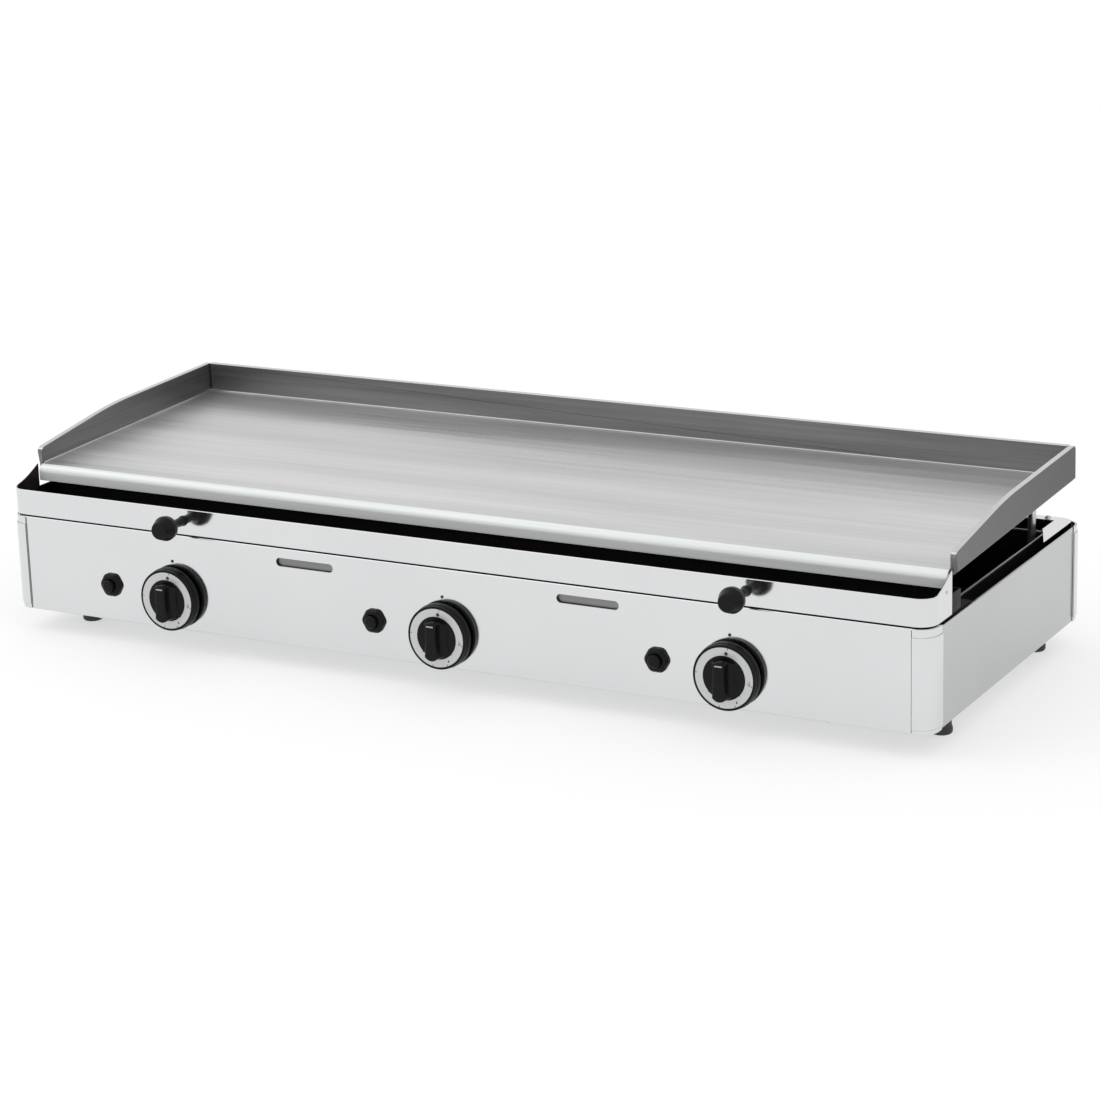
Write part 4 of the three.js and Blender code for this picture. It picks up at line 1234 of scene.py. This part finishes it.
# ------------------------------------------------------------------ stage
def build_stage(s):
    scene = bpy.context.scene
    reach = 40.0
    mesh = bpy.data.meshes.new("floor")
    mesh.from_pydata([(x * reach, y * reach, 0) for x, y in ((-1, -1), (1, -1), (1, 1), (-1, 1))],
                     [], [(0, 1, 2, 3)])
    mesh.materials.append(material(studio_floor))
    floor = bpy.data.objects.new("floor", mesh)
    scene.collection.objects.link(floor)

    world = bpy.data.worlds.new("studio")
    world.use_nodes = True
    back = world.node_tree.nodes["Background"]
    back.inputs["Color"].default_value = (1, 1, 1, 1)
    back.inputs["Strength"].default_value = s.sky
    scene.world = world

    # Each light: its name, power, width, place and aim.
    for name, power, wide, spot, aim in (
            ("key", s.key, 3.0, (-2.2, -1.9, 3.2), (0, 0, 0.05)),
            ("fill", s.fill, 2.0, (1.8, -3.2, 1.6), (0, 0, 0.1))):
        light = bpy.data.lights.new(name, "AREA")
        light.energy = power
        light.size = wide
        lamp = bpy.data.objects.new(name, light)
        lamp.location = spot
        lamp.rotation_euler = (Vector(aim) - Vector(spot)).to_track_quat("-Z", "Y").to_euler()
        scene.collection.objects.link(lamp)

    heading, dip, roll = s.heading, s.dip, s.roll
    ahead = Vector((-math.sin(heading) * math.cos(dip), math.cos(heading) * math.cos(dip),
                    -math.sin(dip)))
    level = Vector((math.cos(heading), math.sin(heading), 0))
    above = level.cross(ahead)
    right = math.cos(roll) * level + math.sin(roll) * above
    up = math.cos(roll) * above - math.sin(roll) * level
    lens = bpy.data.cameras.new("camera")
    lens.lens = s.lens
    lens.sensor_width = 36
    lens.clip_end = 200
    camera = bpy.data.objects.new("camera", lens)
    turn = Matrix((right, up, -ahead)).transposed().to_4x4()
    camera.matrix_world = Matrix.Translation(s.eye) @ turn
    scene.collection.objects.link(camera)
    scene.camera = camera
    scene.view_settings.view_transform = "Standard"


# ------------------------------------------------------------------ operators
class GRIDDLE_OT_stage(bpy.types.Operator):
    """Lay the floor, the light and the camera"""
    bl_idname = "griddle.stage"
    bl_label = "Stage"

    def execute(self, context):
        build_stage(context.scene.griddle_stage)
        return {"FINISHED"}


class GRIDDLE_OT_sheets(bpy.types.Operator):
    """Fold the front, rear and side sheets of the body"""
    bl_idname = "griddle.sheets"
    bl_label = "Body Sheets"

    def execute(self, context):
        build_sheets(context.scene.griddle_body)
        build_slot_screens(context.scene.griddle_body)
        return {"FINISHED"}


class GRIDDLE_OT_corner_covers(bpy.types.Operator):
    """Make the covers of the body's upright corners"""
    bl_idname = "griddle.corner_covers"
    bl_label = "Corner Covers"

    def execute(self, context):
        build_corner_covers(context.scene.griddle_body)
        return {"FINISHED"}


class GRIDDLE_OT_plate(bpy.types.Operator):
    """Make the cooking plate and its weld fillets"""
    bl_idname = "griddle.plate"
    bl_label = "Cooking Plate"

    def execute(self, context):
        build_plate(context.scene.griddle_plate)
        return {"FINISHED"}


class GRIDDLE_OT_guards(bpy.types.Operator):
    """Make the splash guards and the plate's posts"""
    bl_idname = "griddle.guards"
    bl_label = "Splash Guards"

    def execute(self, context):
        build_guards(context.scene.griddle_plate)
        return {"FINISHED"}


class GRIDDLE_OT_drawer(bpy.types.Operator):
    """Make the grease drawer's face, rivets and grips"""
    bl_idname = "griddle.drawer"
    bl_label = "Grease Drawer"

    def execute(self, context):
        build_drawer(context.scene.griddle_drawer, context.scene.griddle_body.corner)
        return {"FINISHED"}


class GRIDDLE_OT_knobs(bpy.types.Operator):
    """Make the gas knobs, their dials and the index pins"""
    bl_idname = "griddle.knobs"
    bl_label = "Gas Knobs"

    def execute(self, context):
        for end in ENDS:
            build_knob(context.scene.griddle_controls, end)
        build_index_pins(context.scene.griddle_controls)
        return {"FINISHED"}


class GRIDDLE_OT_igniters(bpy.types.Operator):
    """Make the push igniters"""
    bl_idname = "griddle.igniters"
    bl_label = "Igniters"

    def execute(self, context):
        for end in ENDS:
            build_igniter(end)
        return {"FINISHED"}


class GRIDDLE_OT_feet(bpy.types.Operator):
    """Make the rubber feet"""
    bl_idname = "griddle.feet"
    bl_label = "Feet"

    def execute(self, context):
        build_feet()
        return {"FINISHED"}


class GRIDDLE_OT_fasteners(bpy.types.Operator):
    """Make the rows of screws"""
    bl_idname = "griddle.fasteners"
    bl_label = "Screws"

    def execute(self, context):
        build_fasteners()
        return {"FINISHED"}


class GRIDDLE_OT_burner_details(bpy.types.Operator):
    """Make the painted highlight on the burner box's top edge, the flame ports and the inlet's thread
    """
    bl_idname = "griddle.burner_details"
    bl_label = "Burner Details"

    def execute(self, context):
        build_burner_details(context.scene.griddle_burners)
        return {"FINISHED"}


class GRIDDLE_OT_dress_nodes(bpy.types.Operator):
    """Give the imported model's other nodes their finishes"""
    bl_idname = "griddle.dress_nodes"
    bl_label = "Inner Pieces"

    def execute(self, context):
        dress_nodes()
        return {"FINISHED"}


OPERATORS = (
    GRIDDLE_OT_stage, GRIDDLE_OT_sheets, GRIDDLE_OT_corner_covers, GRIDDLE_OT_plate,
    GRIDDLE_OT_guards, GRIDDLE_OT_drawer, GRIDDLE_OT_knobs, GRIDDLE_OT_igniters,
    GRIDDLE_OT_feet, GRIDDLE_OT_fasteners, GRIDDLE_OT_burner_details, GRIDDLE_OT_dress_nodes,
)


class GRIDDLE_PT_panel(bpy.types.Panel):
    """Lists the griddle's settings and the steps that build it"""
    bl_idname = "GRIDDLE_PT_panel"
    bl_label = "Griddle"
    bl_space_type = "VIEW_3D"
    bl_region_type = "UI"
    bl_category = "Griddle"

    def draw(self, context):
        for name, group in GROUPS.items():
            box = self.layout.box()
            box.label(text=name.replace("griddle_", "").capitalize())
            for key in group.__annotations__:
                box.prop(getattr(context.scene, name), key)
        for operator in OPERATORS:
            self.layout.operator(operator.bl_idname)


def register():
    for name, group in GROUPS.items():
        bpy.utils.register_class(group)
        setattr(bpy.types.Scene, name, bpy.props.PointerProperty(type=group))
    for operator in OPERATORS:
        bpy.utils.register_class(operator)
    bpy.utils.register_class(GRIDDLE_PT_panel)


def unregister():
    bpy.utils.unregister_class(GRIDDLE_PT_panel)
    for operator in reversed(OPERATORS):
        bpy.utils.unregister_class(operator)
    for name, group in GROUPS.items():
        delattr(bpy.types.Scene, name)
        bpy.utils.unregister_class(group)


def main():
    register()
    for operator in OPERATORS:
        step = operator.bl_idname.split(".")[1]
        getattr(bpy.ops.griddle, step)()


if __name__ == "__main__":
    main()
